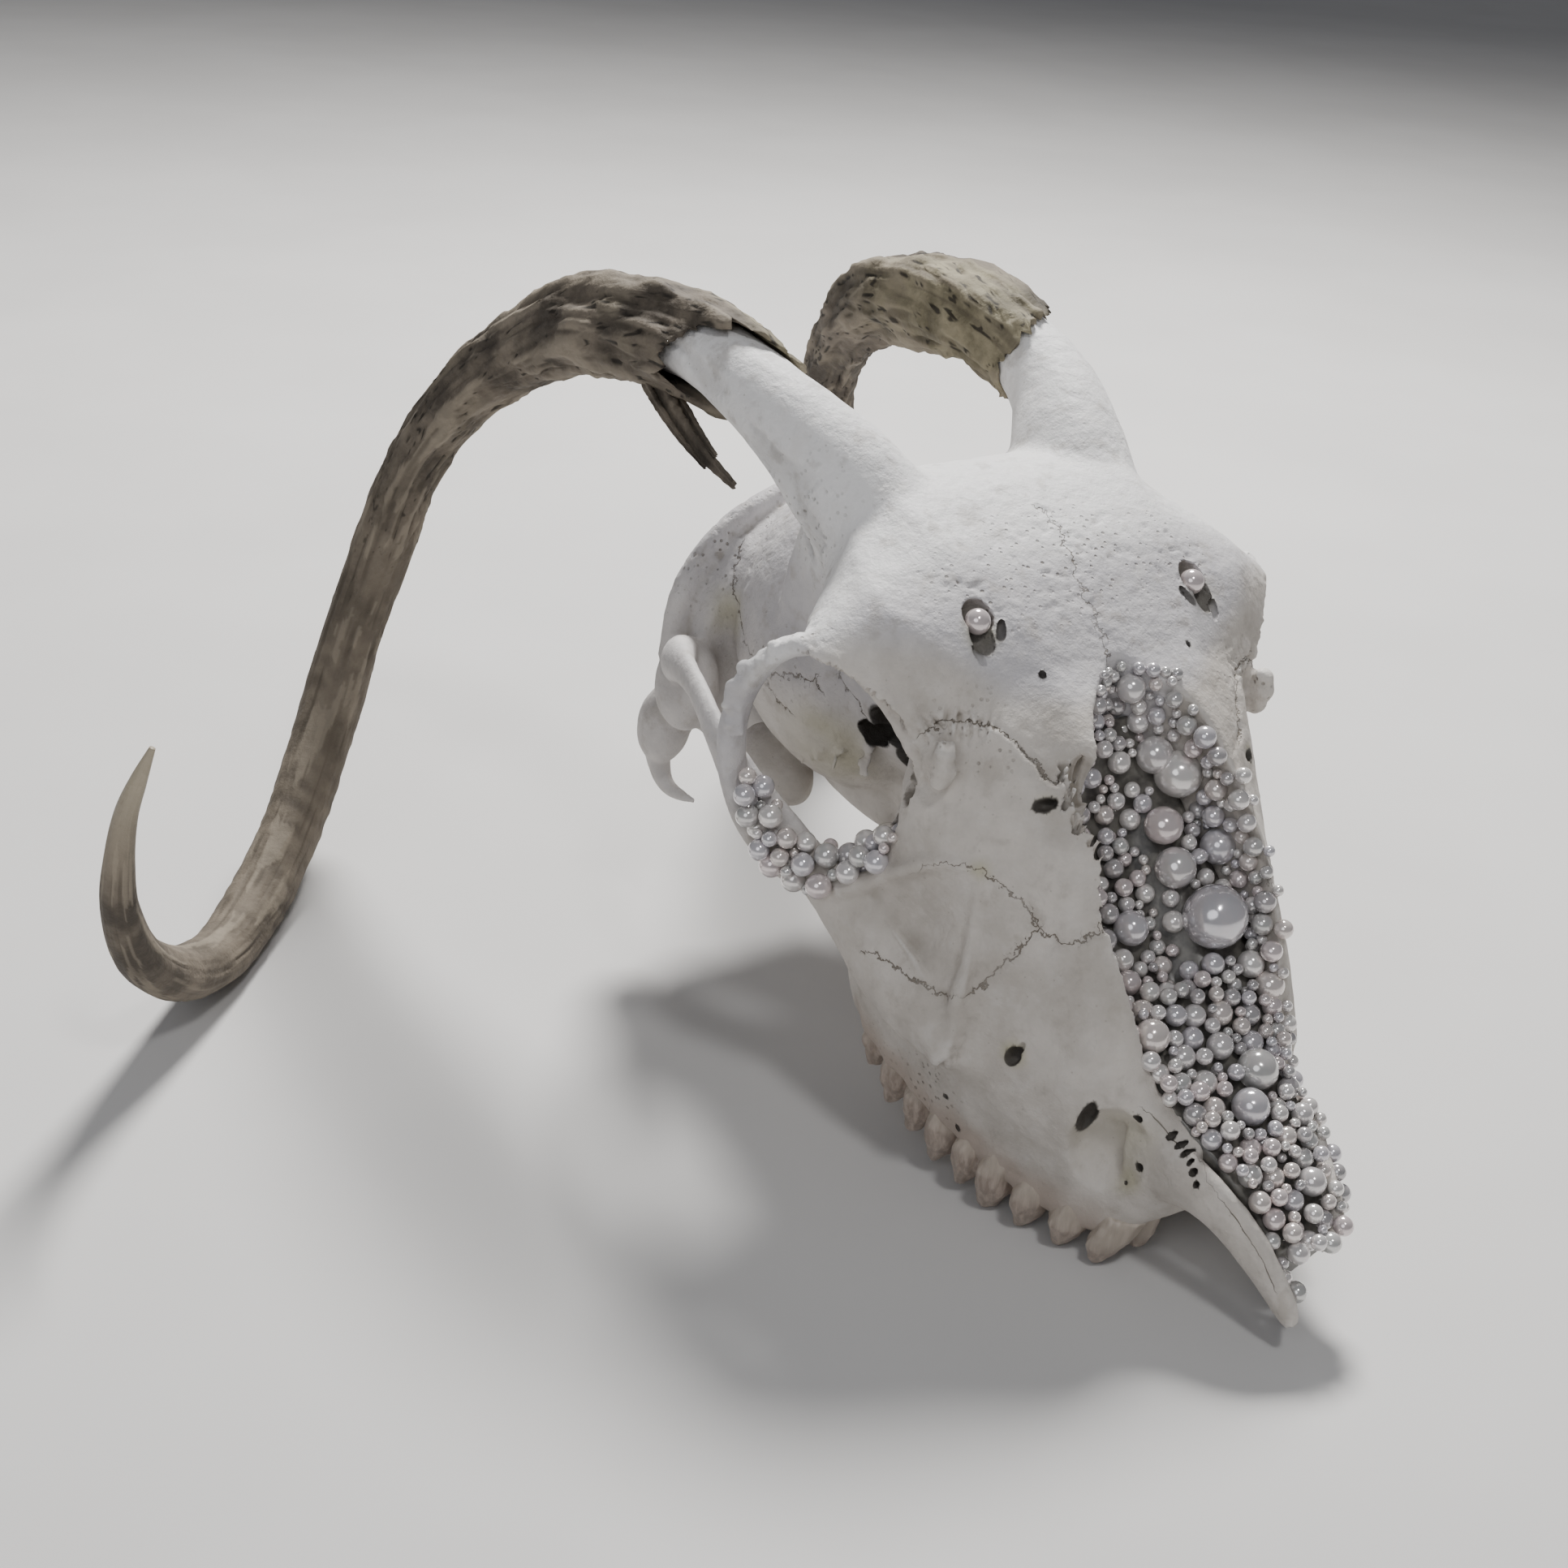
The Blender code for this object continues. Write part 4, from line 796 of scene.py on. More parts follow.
def hole_shade(x, y, z):
    """How much painted shade darkens the inside of each hole."""
    dark = np.zeros(len(x))
    for (cx, cy, cz), (rx, ry, rz), turned, shade in HOLES:
        c, t = cos(radians(turned)), sin(radians(turned))
        across = (x - cx) * c + (y - cy) * t
        along = (y - cy) * c - (x - cx) * t
        e = (across / rx) ** 2 + (along / ry) ** 2 + ((z - cz) / rz) ** 2
        dark = np.maximum(dark, shade * (1.0 - step(e, 1.03, 1.32)))
    return dark


def sculpt_bone(obj):
    """Fine relief and the values that the bone material reads."""
    co, no = coords(obj), normals(obj)
    x, y, z = np.abs(co[:, 0]), co[:, 1], co[:, 2]
    move = 0.20 * rough(co, 15.0, 3, 3) + 0.06 * rough(co, 3.0, 2, 9)
    seam_relief(obj, co, no, move)
    behind = y - (131.0 + np.maximum(0.0, x - 15.0) * 0.72)
    juga = sum(bell(y - cy, length * 0.32) for cy, cx, cz, length in CUSPS)
    low = (1.0 - step(z, 12.0, 30.0)) * step(x, 20.0, 26.0) * (1.0 - step(y, 138.0, 142.0))
    move += 0.7 * low * (juga - 0.6)
    knobs = patches(co, [(*p, 2.6) for p in KNOBS[1:]] + [(*p, 1.8) for p in BROW_EDGE])
    move += knobs * (0.7 * noise(co, 2.0, 23) + 0.35 * noise(co, 1.1, 24))
    move += patches(co, FLAKY) * 0.42 * np.floor(2.0 * rough(co, 4.5, 2, 25)) / 2.0
    outer = step(np.abs(no[:, 0]), 0.35, 0.7) * step(x, 30.0, 36.0)
    for (cx, cy, cz), (ry, rz), deep in DISHES:
        move -= deep * outer * np.exp(-((y - cy) / ry) ** 2 - ((z - cz) / rz) ** 2)
    fibre = noise(co * np.array((0.6, 0.18, 0.6)), 1.0, 11)
    face = step(-behind, 0.0, 10.0) * step(z, 18.0, 30.0)
    move += 0.10 * face * fibre
    core = core_grooves(co)
    porous = patches(co, POROUS)
    move -= 0.8 * core
    move -= 0.5 * porous * step(noise(co, 1.5, 17), 0.35, 0.75)
    set_coords(obj, co + no * move[:, None])
    # Warm tone of the face bones, partly their own colour and partly painted shade.
    warm = step(-behind + 2.0 * noise(co, 9.0, 14), -2.0, 6.0)
    gum = 1.0 - step(z + 1.5 * noise(co, 5.0, 19), 10.0, 24.0)
    set_values(
        obj, porous=porous,
        # Painted shade inside the holes, in the horn core grooves and deep in the orbit.
        dark=np.maximum.reduce([0.3 * core, hole_shade(x, y, z), 0.75 * patches(co, ORBIT_DEPTH)]),
        # Concave places get painted shade and convex ridges painted light; deep does the same for painted shade
        # in larger hollows.
        hollow=np.clip(-hollows(obj, 14) / 1.6, -1.0, 1.0),
        deep=np.clip(-hollows(obj, 70) / 3.0, -1.0, 1.0),
        # The lower skull takes the same warm, darker tone, also partly painted shade.
        warm=np.maximum(warm, 1.0 - step(z, 40.0, 75.0)) * (1.0 - step(y, 206.0, 222.0) * 0.5),
        # Pale bone on the forehead and horn cores: partly the bone's own whiteness, partly painted light on the
        # top.
        pale=step(y + 3.0 * noise(co, 8.0, 18), 152.0, 168.0) * step(z, 84.0, 98.0),
        gum=gum * step(x, 18.0, 24.0) * (1.0 - step(y, 138.0, 144.0)),
        stain=patches(co, STAINS) * (0.75 + 0.25 * noise(co, 7.0, 15)))


def tooth_pillar(side, y, x, z, length, inner):
    """One pillar of a cheek tooth with ribs down its side."""
    rings = []
    for k in range(PILLAR_LEVELS):
        t = k / (PILLAR_LEVELS - 1)
        height = CROWN_ROOT_Z + 3.0 + (z + (2.6 if inner else 0.0) - CROWN_ROOT_Z - 3.0) * t
        open_part = min(1.0, max(0.0, (height - z) / 7.5)) ** 0.72
        half = length * (0.09 + 0.38 * open_part) * 1.04
        wide = (1.2 + 3.2 * open_part) * (0.7 if inner else 1.0)
        shift = 1.7 * (1.0 - open_part)
        ring = []
        for a in angles(28):
            rib = 1.0 + 0.20 * cos(3.0 * a) * open_part + 0.04 * cos(9.0 * a)
            px = x - 3.2 + (-6.6 if inner else 0.0) + shift * (-0.3 if inner else 1.0) + cos(a) * wide * rib
            if not inner:
                px += 0.3 + 0.15 * max(0.0, min(height, 10.0) - 2.0) - 0.45 * max(0.0, height - 10.0)
            ring.append((px * side, y + copysign(abs(sin(a)) ** 0.8, sin(a)) * half, height))
        rings.append(ring)
    return loft("pillar", rings)


def tooth_row(side, word):
    parts = [tooth_pillar(side, *row, inner) for row in CUSPS for inner in (False, True)]
    obj = voxel(join(parts, "teeth"), VOXEL_TEETH, 2)
    obj.name = "teeth_" + word
    co = coords(obj)
    lines = noise(columns(co[:, 1] * 1.1, co[:, 2] * 0.12, co[:, 0] * 0.9), 1.0, 21)
    set_coords(obj, co + normals(obj) * (0.26 * lines + 0.22 * rough(co, 3.2, 3, 22))[:, None])
    # Concave places between cusps get painted shade, convex ridges painted light.
    set_values(obj, hollow=np.clip(-hollows(obj, 10) / 0.9, -1.0, 1.0), root=step(co[:, 2], 6.0, 14.0))
    return obj


def horn_grid(side):
    """Rows of points round the horn, with bark-like relief, and values for its colours."""
    rows = smooth_rows(HORN if side < 0 else left_shift(HORN), HORN_RINGS)
    rng = random.Random(5 + int(side))
    wave = [rng.uniform(0.0, ROUND) for _ in range(3)]
    axis = rows[:, :3]
    dirs = np.zeros((HORN_RINGS, HORN_SIDES, 3))
    top = UP
    ang = tau * np.arange(HORN_SIDES) / HORN_SIDES
    for k in range(HORN_RINGS):
        along = (Vector(axis[min(k + 1, HORN_RINGS - 1)]) - Vector(axis[max(k - 1, 0)])).normalized()
        top = (top - along * top.dot(along)).normalized()
        other = along.cross(top).normalized()
        dirs[k] = np.outer(np.cos(ang), np.array(top)) + np.outer(np.sin(ang), np.array(other))
    u = np.linspace(0.0, 1.0, HORN_RINGS)[:, None]
    a = ang[None, :]
    coarse = 0.045 * np.sin(3 * a + wave[0] + 2.0 * u) + 0.03 * np.sin(5 * a + wave[1])
    coarse = coarse + 0.03 * np.sin(46.0 * u + wave[2]) * (1.0 - u)
    rad = rows[:, 3:] * (1.0 + coarse * (1.0 - 0.75 * u))
    grid = (np.cos(a), np.sin(a), run_length(axis)[:, None], u, rows[:, 3:])
    ca, sa, ss, uu, thick = (np.broadcast_to(v, rad.shape).ravel() for v in grid)
    old = 1.0 - step(uu, 0.22, 0.5)
    tip = step(uu, 0.72, 0.82)
    seed = 50 + int(side)
    fibre = noise(columns(ca * 7.0, sa * 7.0, ss / 13.0), 1.0, seed)
    fine = noise(columns(ca * 15.0, sa * 15.0, ss / 9.0), 1.0, seed + 1)
    bark = rough(columns(ca * 2.6, sa * 2.6, ss / 17.0), 1.0, 3, seed + 2)
    flake = np.floor(bark * 2.6 + 0.35 * fibre) / 2.6
    place = columns(ca, sa, ss / 20.0)
    bands = np.sin(ss * 2.0 * pi / 7.0 + 3.2 * noise(place, 1.0, seed + 3))
    bands = bands * (0.4 + 0.6 * noise(place, 0.8, seed + 4))
    middle = step(uu, 0.36, 0.46) * (1.0 - step(uu, 0.66, 0.76))
    gnarl = rough(columns(ca * 1.7, sa * 1.7, ss / 9.0), 1.0, 3, seed + 5)
    crack = bell(np.abs(bark - 0.08), 0.045) * (0.35 + 0.65 * old)
    bump = 0.42 * fibre * (0.35 + 0.65 * old) + 0.16 * fine * (1.0 - 0.6 * tip)
    bump = bump + flake * (0.85 * old + 0.28) * (1.0 - tip) + 0.16 * bands * middle
    bump = bump + 0.9 * gnarl * (1.0 - step(uu, 0.12, 0.42))
    bump = bump - 0.75 * crack * (1.0 - tip)
    bump = bump * np.minimum(1.0, thick / 6.0)
    pts = axis[:, None, :] + dirs * (rad + bump.reshape(rad.shape) - 0.25)[:, :, None]
    values = {
        "along": uu, "crack": crack, "flake": flake * 0.5 + 0.5, "fibre": 0.5 + 0.5 * fibre,
        "rings": 0.5 + 0.5 * bands * middle, "gnarl": 0.5 + 0.4 * gnarl,
        "olive": (1.0 - step(pts[:, :, 0].ravel(), 33.0, 41.0)) * (1.0 - step(uu, 0.10, 0.20)),
    }
    return pts, axis, dirs, rad, {name: value.reshape(rad.shape) for name, value in values.items()}


def horn_sheath(side, word):
    """The horn's skin from its jagged edge over the core out to the tip, with a rim turned inwards."""
    pts, axis, dirs, rad, values = horn_grid(side)
    edge_y = np.interp(pts[:, :, 0], EDGE_X, EDGE_Y)
    jag = np.random.default_rng(60 + int(side)).normal(0.0, 1.0, HORN_SIDES)
    jag = 1.6 * jag + 1.2 * np.roll(jag, 1) + 1.2 * np.roll(jag, -1)
    first = np.argmax(pts[:, :, 1] > edge_y + jag[None, :] * 0.6, axis=0)
    first = np.maximum(first, int(0.03 * HORN_RINGS))
    cols = np.arange(HORN_SIDES)
    count = HORN_RINGS - 10
    picks = np.array([first + (HORN_RINGS - 1 - first) * (k / (count - 1)) for k in range(count)])
    low = np.minimum(picks.astype(int), HORN_RINGS - 2)
    part = (picks - low)[:, :, None]
    grid = pts[low, cols] * (1.0 - part) + pts[low + 1, cols] * part
    inner = []
    for k in range(RIM_ROWS - 1, -1, -1):
        ring = np.minimum(first + k * 3, HORN_RINGS - 1)
        thick = 1.3 + 0.25 * min(k, 3)
        inner.append(axis[ring] + dirs[ring, cols] * (rad[ring, cols] - thick)[:, None])
    full = np.concatenate([np.array(inner), grid], axis=0)
    full[:, :, 0] *= side
    obj = grid_mesh("horn_skin_" + word, full)
    for name, value in values.items():
        v = value[low, cols]
        set_values(obj, **{name: np.concatenate([np.repeat(v[:1], RIM_ROWS, axis=0), v], axis=0).ravel()})
    return obj


def bed_top(y, x):
    """Height of the glue bed, lower in the middle of the nose."""
    rows = smooth_rows(BED, 60)
    top = np.interp(-y, -rows[:, 0], rows[:, 1])
    sunk = 5.5 * np.clip((y - 86.0) / 8.0, 0.0, 1.0) * np.clip((130.0 - y) / 8.0, 0.0, 1.0)
    return float(top - 0.9 - sunk * np.clip((7.0 - x) / 6.0, 0.0, 1.0) + 0.05 * x * step(y, 60.0, 80.0))


def bed_half(y):
    """The bed's right and left edge."""
    if y < 66.0:
        return -float(np.interp(y, (39.0, 66.0), (4.5, 13.0))), float(np.interp(y, (39.0, 66.0), (9.4, 14.2)))
    nose = smooth_rows(NASAL, 60)
    inner = float(np.interp(-y, -nose[:, 0], nose[:, 1]))
    return -inner + 1.0, inner - 0.6


class Pile:
    """Pearls that lie on each other and hardly cross."""

    def __init__(self):
        self.items = []
        self.data = np.zeros((4000, 4))

    def add(self, p, r, kind=ROUND_PEARL):
        self.data[len(self.items)] = (*p, r)
        self.items.append((p, r, kind))

    def settle(self, p, r, rng=None, slack=0.94):
        """Add a pearl where there is room for it; with rng a few are cut crystals."""
        d = self.data[: len(self.items)]
        if len(d) and (np.linalg.norm(d[:, :3] - p, axis=1) - (d[:, 3] + r) * slack).min() <= 0.0:
            return
        self.add(p, r, CRYSTAL if rng and rng.random() < CRYSTAL_SHARE else ROUND_PEARL)

    def rest_height(self, x, y, r, ground):
        d = self.data[: len(self.items)]
        flat = (d[:, 0] - x) ** 2 + (d[:, 1] - y) ** 2
        reach = ((d[:, 3] + r) * 0.96) ** 2
        hit = flat < reach
        if not hit.any():
            return ground
        return max(ground, float((d[hit, 2] + np.sqrt(reach[hit] - flat[hit])).max()))


class Bone:
    """The bone surface, to lay pearls on it."""

    def __init__(self, obj):
        mesh = obj.data
        mesh.calc_loop_triangles()
        tris = np.zeros(len(mesh.loop_triangles) * 3, dtype=np.int64)
        mesh.loop_triangles.foreach_get("vertices", tris)
        self.tree = BVHTree.FromPolygons(coords(obj).tolist(), tris.reshape(-1, 3).tolist())

    def hit(self, start, way, reach):
        return self.tree.ray_cast(Vector(start), Vector(way), reach)[0]

    def clear(self, p, r):
        """How far a pearl's middle stands outside the bone, in its own radii."""
        place, normal, index, dist = self.tree.find_nearest(Vector(p))
        return dist * (1.0 if (Vector(p) - place).dot(normal) > 0.0 else -1.0) / r


def between(y, table):
    return float(np.interp(y, *table))


def nose_pearls(bone):
    rng = random.Random(SEED + 11)
    u = rng.uniform
    pile = Pile()
    for x, y, z, r in BIG_PEARLS:
        pile.add((x, y, z), r)
    # On the hind wall of the opening.
    for x_reach, z_low, z_high, y_from in ((12.0, 90.0, 103.5, 122.0), (9.0, 84.0, 96.0, 118.0)):
        for _ in range(700):
            x, z, r = u(-x_reach * 0.7, x_reach), u(z_low, z_high), u(1.0, 2.1)
            wall = bone.hit((x, y_from, z), (0.0, 1.0, 0.0), 18.0)
            if wall is not None:
                pile.settle((x, wall[1] - 0.7 * r, z), r, rng)
    # On the bed.
    for tries, small, large, layers in ((320, 2.1, 2.7, 1.5), (3000, 1.5, 2.1, 2.9), (5200, 1.0, 1.4, 3.0)):
        for _ in range(tries):
            y = u(38.5, 136.0)
            x = u(*bed_half(y))
            r = u(small, large)
            ground = bed_top(y, x) + 0.35 * r
            z = pile.rest_height(x, y, r, ground)
            if z - ground <= (layers if y < 92.0 else layers * 0.75):
                pile.settle((x, y, z), r, rng)
    # On the left wall.
    for small, large, tries in ((1.9, 2.5, 500), (1.4, 1.9, 1500), (1.0, 1.3, 1800)):
        for _ in range(tries):
            y = u(58.0, 134.0)
            ground = bed_top(y, 12.0)
            z = u(ground, max(ground + 2.0, between(y, WALL_TOP)))
            r = u(small, large)
            wall = bone.hit((1.0, y, z), (1.0, 0.0, 0.0), 24.0)
            if wall is not None:
                pile.settle((wall[0] - 0.7 * r, y, z), r, rng)
    # On the left rim.
    for small, large, tries in ((1.7, 2.3, 500), (1.2, 1.6, 900)):
        for _ in range(tries):
            y = u(38.0, 112.0)
            r = u(small, large)
            x = between(y, LEFT_RIM) + u(-3.0, 2.0 if y > 62.0 else 3.4)
            roof = bone.hit((x, y, 125.0), (0.0, 0.0, -1.0), 110.0)
            if roof is not None:
                pile.settle((x, y, roof[2] + 0.6 * r), r, rng)
    # Along the right snout bar.
    for _ in range(500):
        y, r = u(34.0, 50.0), u(1.3, 2.2)
        x = -between(y, ((34.0, 50.0), (4.2, 7.0))) + u(-1.5, 2.0)
        z = between(y, ((34.0, 50.0), (25.0, 36.0))) + u(-4.0, 3.0)
        if 0.4 < bone.clear((x, y, z), r) < 1.3:
            pile.settle((x, y, z), r)
    return pile.items


def orbit_pearls(bone):
    rng = random.Random(SEED + 12)
    u = rng.uniform
    pile = Pile()
    path = [Vector((-p.x - 2.0, p.y - 2.6, p.z + 3.4)) for p, ang in rim_rows(206.0, 342.0, 26, 0.90)]
    for small, large, tries in ((2.2, 2.8, 5000), (1.6, 2.1, 3000), (1.1, 1.4, 1500)):
        for _ in range(tries):
            t = u(0.0, len(path) - 1.001)
            i = int(t)
            thick = sin(pi * (t + 1.0) / (len(path) + 1)) ** 0.35
            off = Vector((u(-1.0, 1.0), u(-1.0, 1.0), u(-1.0, 1.0)))
            if off.length > 1.0:
                continue
            r = u(small, large)
            p = tuple(path[i].lerp(path[i + 1], t - i) + off * (5.6 * thick))
            if bone.clear(p, r) > 0.5:
                pile.settle(p, r, slack=0.88)
    return pile.items


def sphere_parts(fine):
    bm = bmesh.new()
    bmesh.ops.create_icosphere(bm, subdivisions=fine, radius=1.0)
    bm.verts.ensure_lookup_table()
    co = np.array([v.co[:] for v in bm.verts])
    faces = np.array([[v.index for v in f.verts] for f in bm.faces])
    bm.free()
    return co, faces


def crystal_parts():
    """A round cut stone: a flat table, a band of facets and a point below."""
    eighths = [pi * k / 4.0 for k in range(8)]
    co = [(0.0, 0.0, -1.0)] + [(cos(a), sin(a), 0.0) for a in eighths]
    co += [(0.62 * cos(pi * (k + 0.5) / 4.0), 0.62 * sin(pi * (k + 0.5) / 4.0), 0.62) for k in range(8)]
    faces = []
    for k in range(8):
        n = (k + 1) % 8
        faces += [(0, 1 + n, 1 + k), (1 + k, 1 + n, 9 + k), (1 + n, 9 + n, 9 + k)]
        if 0 < k < 7:
            faces.append((9, 9 + k, 9 + n))
    return np.array(co), np.array(faces)


def pearl_mesh(name, items, seed):
    """All pearls as one mesh, each with a tint of its own."""
    rng = np.random.default_rng(seed)
    shapes = {fine: sphere_parts(fine) for fine in (2, 3, 4)}
    crystal = crystal_parts()
    all_co, all_faces, all_tint = [], [], []
    base = 0
    for p, r, kind in items:
        if kind == CRYSTAL:
            co, faces = crystal
            here = (co @ np.array(Euler(rng.uniform(-0.7, 0.7, 3)).to_matrix()).T) * r
        else:
            co, faces = shapes[4 if r > 3.0 else 3 if r > 1.45 else 2]
            here = co * r * (1.0 + rng.uniform(-0.03, 0.03, 3))
            here = here + 0.012 * r * rough(here * 0.8 + base, 1.0, 1, seed)[:, None] * co
        tint = PEARL_TINTS[rng.integers(len(PEARL_TINTS))] * rng.uniform(0.92, 1.04)
        all_co.append(here + np.array(p))
        all_faces.append(faces + base)
        all_tint.append(np.tile((*tint, 1.0), (len(co), 1)))
        base += len(co)
    obj = from_lists(name, np.concatenate(all_co).tolist(), np.concatenate(all_faces).tolist())
    attr = obj.data.attributes.new("tint", "FLOAT_COLOR", "POINT")
    tints = np.clip(np.concatenate(all_tint), 0.0, 1.0).astype(np.float32)
    attr.data.foreach_set("color", tints.ravel())
    return obj


def nose_bed():
    rings = []
    for y, top in smooth_rows(BED, 90):
        low, high = bed_half(float(y))
        floor = top - 12.0 if y < 62.0 else top - 14.0
        across = [low - 0.6 + (high - low + 1.0) * i / 24 for i in range(25)]
        ring = [(x, y, bed_top(y, x) - 0.4) for x in across]
        ring += [(high, y, top - 6.0), ((low + high) / 2.0, y, max(floor, 22.0 if y < 50.0 else 26.0)),
                 (low, y, top - 6.0)]
        rings.append(ring)
    obj = loft("nose_bed", rings)
    co = coords(obj)
    set_coords(obj, co + normals(obj) * (0.35 * rough(co, 4.0, 3, 33))[:, None])
    return obj


class Look:
    """A material, with short ways to make and join its nodes."""

    def __init__(self, name):
        self.mat = bpy.data.materials.new(name)
        self.mat.use_nodes = True
        self.tree = self.mat.node_tree
        self.shader = self.tree.nodes["Principled BSDF"]
        self.place = self.node("TexCoord").outputs["Object"]

    def put(self, value, socket):
        """Join a socket to another, or give it a number or a colour."""
        if isinstance(value, bpy.types.NodeSocket):
            self.tree.links.new(value, socket)
        elif isinstance(value, tuple) and socket.type == "RGBA":
            socket.default_value = (*value, 1.0)
        else:
            socket.default_value = value

    def node(self, kind, inputs=(), **settings):
        node = self.tree.nodes.new("ShaderNode" + kind)
        for name, value in settings.items():
            setattr(node, name, value)
        for name, value in inputs:
            self.put(value, node.inputs[name])
        return node

    def attr(self, name, what="Fac"):
        return self.node("Attribute", attribute_name=name).outputs[what]

    def stretched(self, stretch):
        if stretch is None:
            return self.place
        return self.node("Mapping", (("Scale", stretch), ("Vector", self.place))).outputs["Vector"]

    def noise(self, scale, detail=4.0, stretch=None):
        inputs = (("Scale", scale), ("Detail", detail), ("Roughness", 0.6), ("Vector", self.stretched(stretch)))
        return self.node("TexNoise", inputs).outputs["Fac"]

    def cells(self, scale):
        return self.node("TexVoronoi", (("Scale", scale), ("Vector", self.place))).outputs["Distance"]

    def ramp(self, value, low, high, a=0.0, b=1.0):
        """A smooth step of a socket, or of the attribute of that name."""
        if isinstance(value, str):
            value = self.attr(value)
        inputs = (("From Min", low), ("From Max", high), ("To Min", a), ("To Max", b), ("Value", value))
        return self.node("MapRange", inputs, interpolation_type="SMOOTHSTEP").outputs["Result"]

    def math(self, kind, a, b):
        return self.node("Math", ((0, a), (1, b)), operation=kind).outputs[0]

    def mix(self, factor, a, b):
        node = self.node("Mix", data_type="RGBA")
        for value, socket in zip((factor, a, b), [s for s in node.inputs if s.enabled]):
            self.put(value, socket)
        return [s for s in node.outputs if s.enabled][0]

    def tint(self, col, *layers):
        """Lay tints over a colour: value, where it starts and is full, amount, tint."""
        for value, low, high, amount, tint in layers:
            col = self.mix(self.ramp(value, low, high, 0.0, amount), col, tint)
        return col

    def bump(self, height, strength, distance, under=None):
        inputs = [("Strength", strength), ("Distance", distance), ("Height", height)]
        if under is not None:
            inputs.append(("Normal", under))
        return self.node("Bump", inputs).outputs["Normal"]

    def done(self, **values):
        """Give the shader its values, an underscore standing for a space, and return the material."""
        for name, value in values.items():
            self.put(value, self.shader.inputs[name.replace("_", " ")])
        return self.mat


def bone_material():
    n = Look("bone")
    cloud = n.noise(45.0, 5.0)
    mottle = n.noise(160.0)
    plain = n.mix(n.ramp(cloud, 0.35, 0.65), (0.50, 0.485, 0.50), (0.60, 0.58, 0.585))
    # Face tone, warmer and darker than the plain bone: partly its own colour, partly painted shade.
    face = n.mix(n.ramp(cloud, 0.35, 0.68), (0.45, 0.415, 0.375), (0.60, 0.56, 0.515))
    col = n.mix(n.attr("warm"), plain, face)
    # Pale top: partly the bone's own whiteness, partly painted light.
    col = n.mix(n.attr("pale"), col, (0.79, 0.78, 0.775))
    col = n.tint(col,
                 (mottle, 0.5, 0.72, 0.35, (0.66, 0.63, 0.60)),
                 (mottle, 0.47, 0.30, 0.42, (0.34, 0.305, 0.265)),
                 ("stain", 0.15, 1.0, 0.72, (0.40, 0.375, 0.235)),
                 # Painted shade in large and small hollows, and painted light on ridges.
                 ("deep", 0.08, 0.75, 0.5, (0.28, 0.25, 0.21)),
                 ("hollow", 0.04, 0.6, 0.6, (0.22, 0.19, 0.15)),
                 ("hollow", -0.12, -0.6, 0.5, (0.80, 0.78, 0.75)),
                 ("gum", 0.0, 0.9, 0.85, (0.43, 0.355, 0.30)))
    pores = n.math("MULTIPLY", n.attr("porous"), n.ramp(n.cells(520.0), 0.10, 0.24, 1.0, 0.0))
    col = n.mix(n.math("MULTIPLY", pores, 0.75), col, (0.20, 0.17, 0.14))
    col = n.mix(n.ramp(n.cells(330.0), 0.03, 0.10, 0.45, 0.0), col, (0.28, 0.25, 0.21))
    wander = n.ramp(n.noise(650.0, 3.0), 0.25, 0.75, -0.75, 0.75)
    line = 0.0
    for name, wide in (("seam_a", 0.20), ("seam_b", 0.18), ("seam_c", 0.11), ("seam_mid", 0.20)):
        gap = n.attr(name) if name == "seam_c" else n.math("ADD", n.attr(name), wander)
        here = n.ramp(n.math("ABSOLUTE", gap, 0.0), wide * 0.5, wide * 1.6, 1.0, 0.0)
        line = n.math("MAXIMUM", line, here)
    line = n.math("MULTIPLY", line, n.ramp("near", 0.9, 1.9, 1.0, 0.0))
    faint = n.ramp(n.noise(90.0, 2.0), 0.35, 0.6, 0.45, 0.85)
    col = n.mix(n.math("MULTIPLY", line, faint), col, (0.14, 0.115, 0.085))
    # Painted shade inside holes, horn core grooves and the depth of the orbit.
    col = n.tint(col, ("dark", 0.05, 1.0, 0.93, (0.035, 0.03, 0.025)))
    lumps = n.bump(n.noise(330.0), 0.55, 0.0008, n.bump(n.noise(1300.0, 3.0), 0.25, 0.0003))
    lumps = n.bump(n.noise(120.0, 5.0), 0.45, 0.0014, lumps)
    holes = n.math("SUBTRACT", 1.0, n.math("MAXIMUM", pores, line))
    return n.done(Base_Color=col, Roughness=n.ramp(n.noise(900.0, 3.0), 0.3, 0.7, 0.55, 0.75),
                  Normal=n.bump(holes, 0.8, 0.0005, lumps), Specular_IOR_Level=0.4)


def tooth_material():
    n = Look("tooth")
    streaks = n.noise(1.0, 5.0, (900.0, 900.0, 90.0))
    col = n.mix(n.ramp(streaks, 0.35, 0.7), (0.33, 0.265, 0.22), (0.53, 0.445, 0.38))
    col = n.tint(col,
                 ("root", 0.2, 1.0, 0.7, (0.42, 0.37, 0.31)),
                 # Painted shade in the gaps between cusps, painted light on their ridges.
                 ("hollow", 0.08, 0.7, 0.92, (0.06, 0.045, 0.035)),
                 ("hollow", -0.1, -0.6, 0.5, (0.72, 0.66, 0.58)))
    return n.done(Base_Color=col, Roughness=n.ramp(streaks, 0.3, 0.7, 0.38, 0.58),
                  Normal=n.bump(streaks, 0.3, 0.0004))


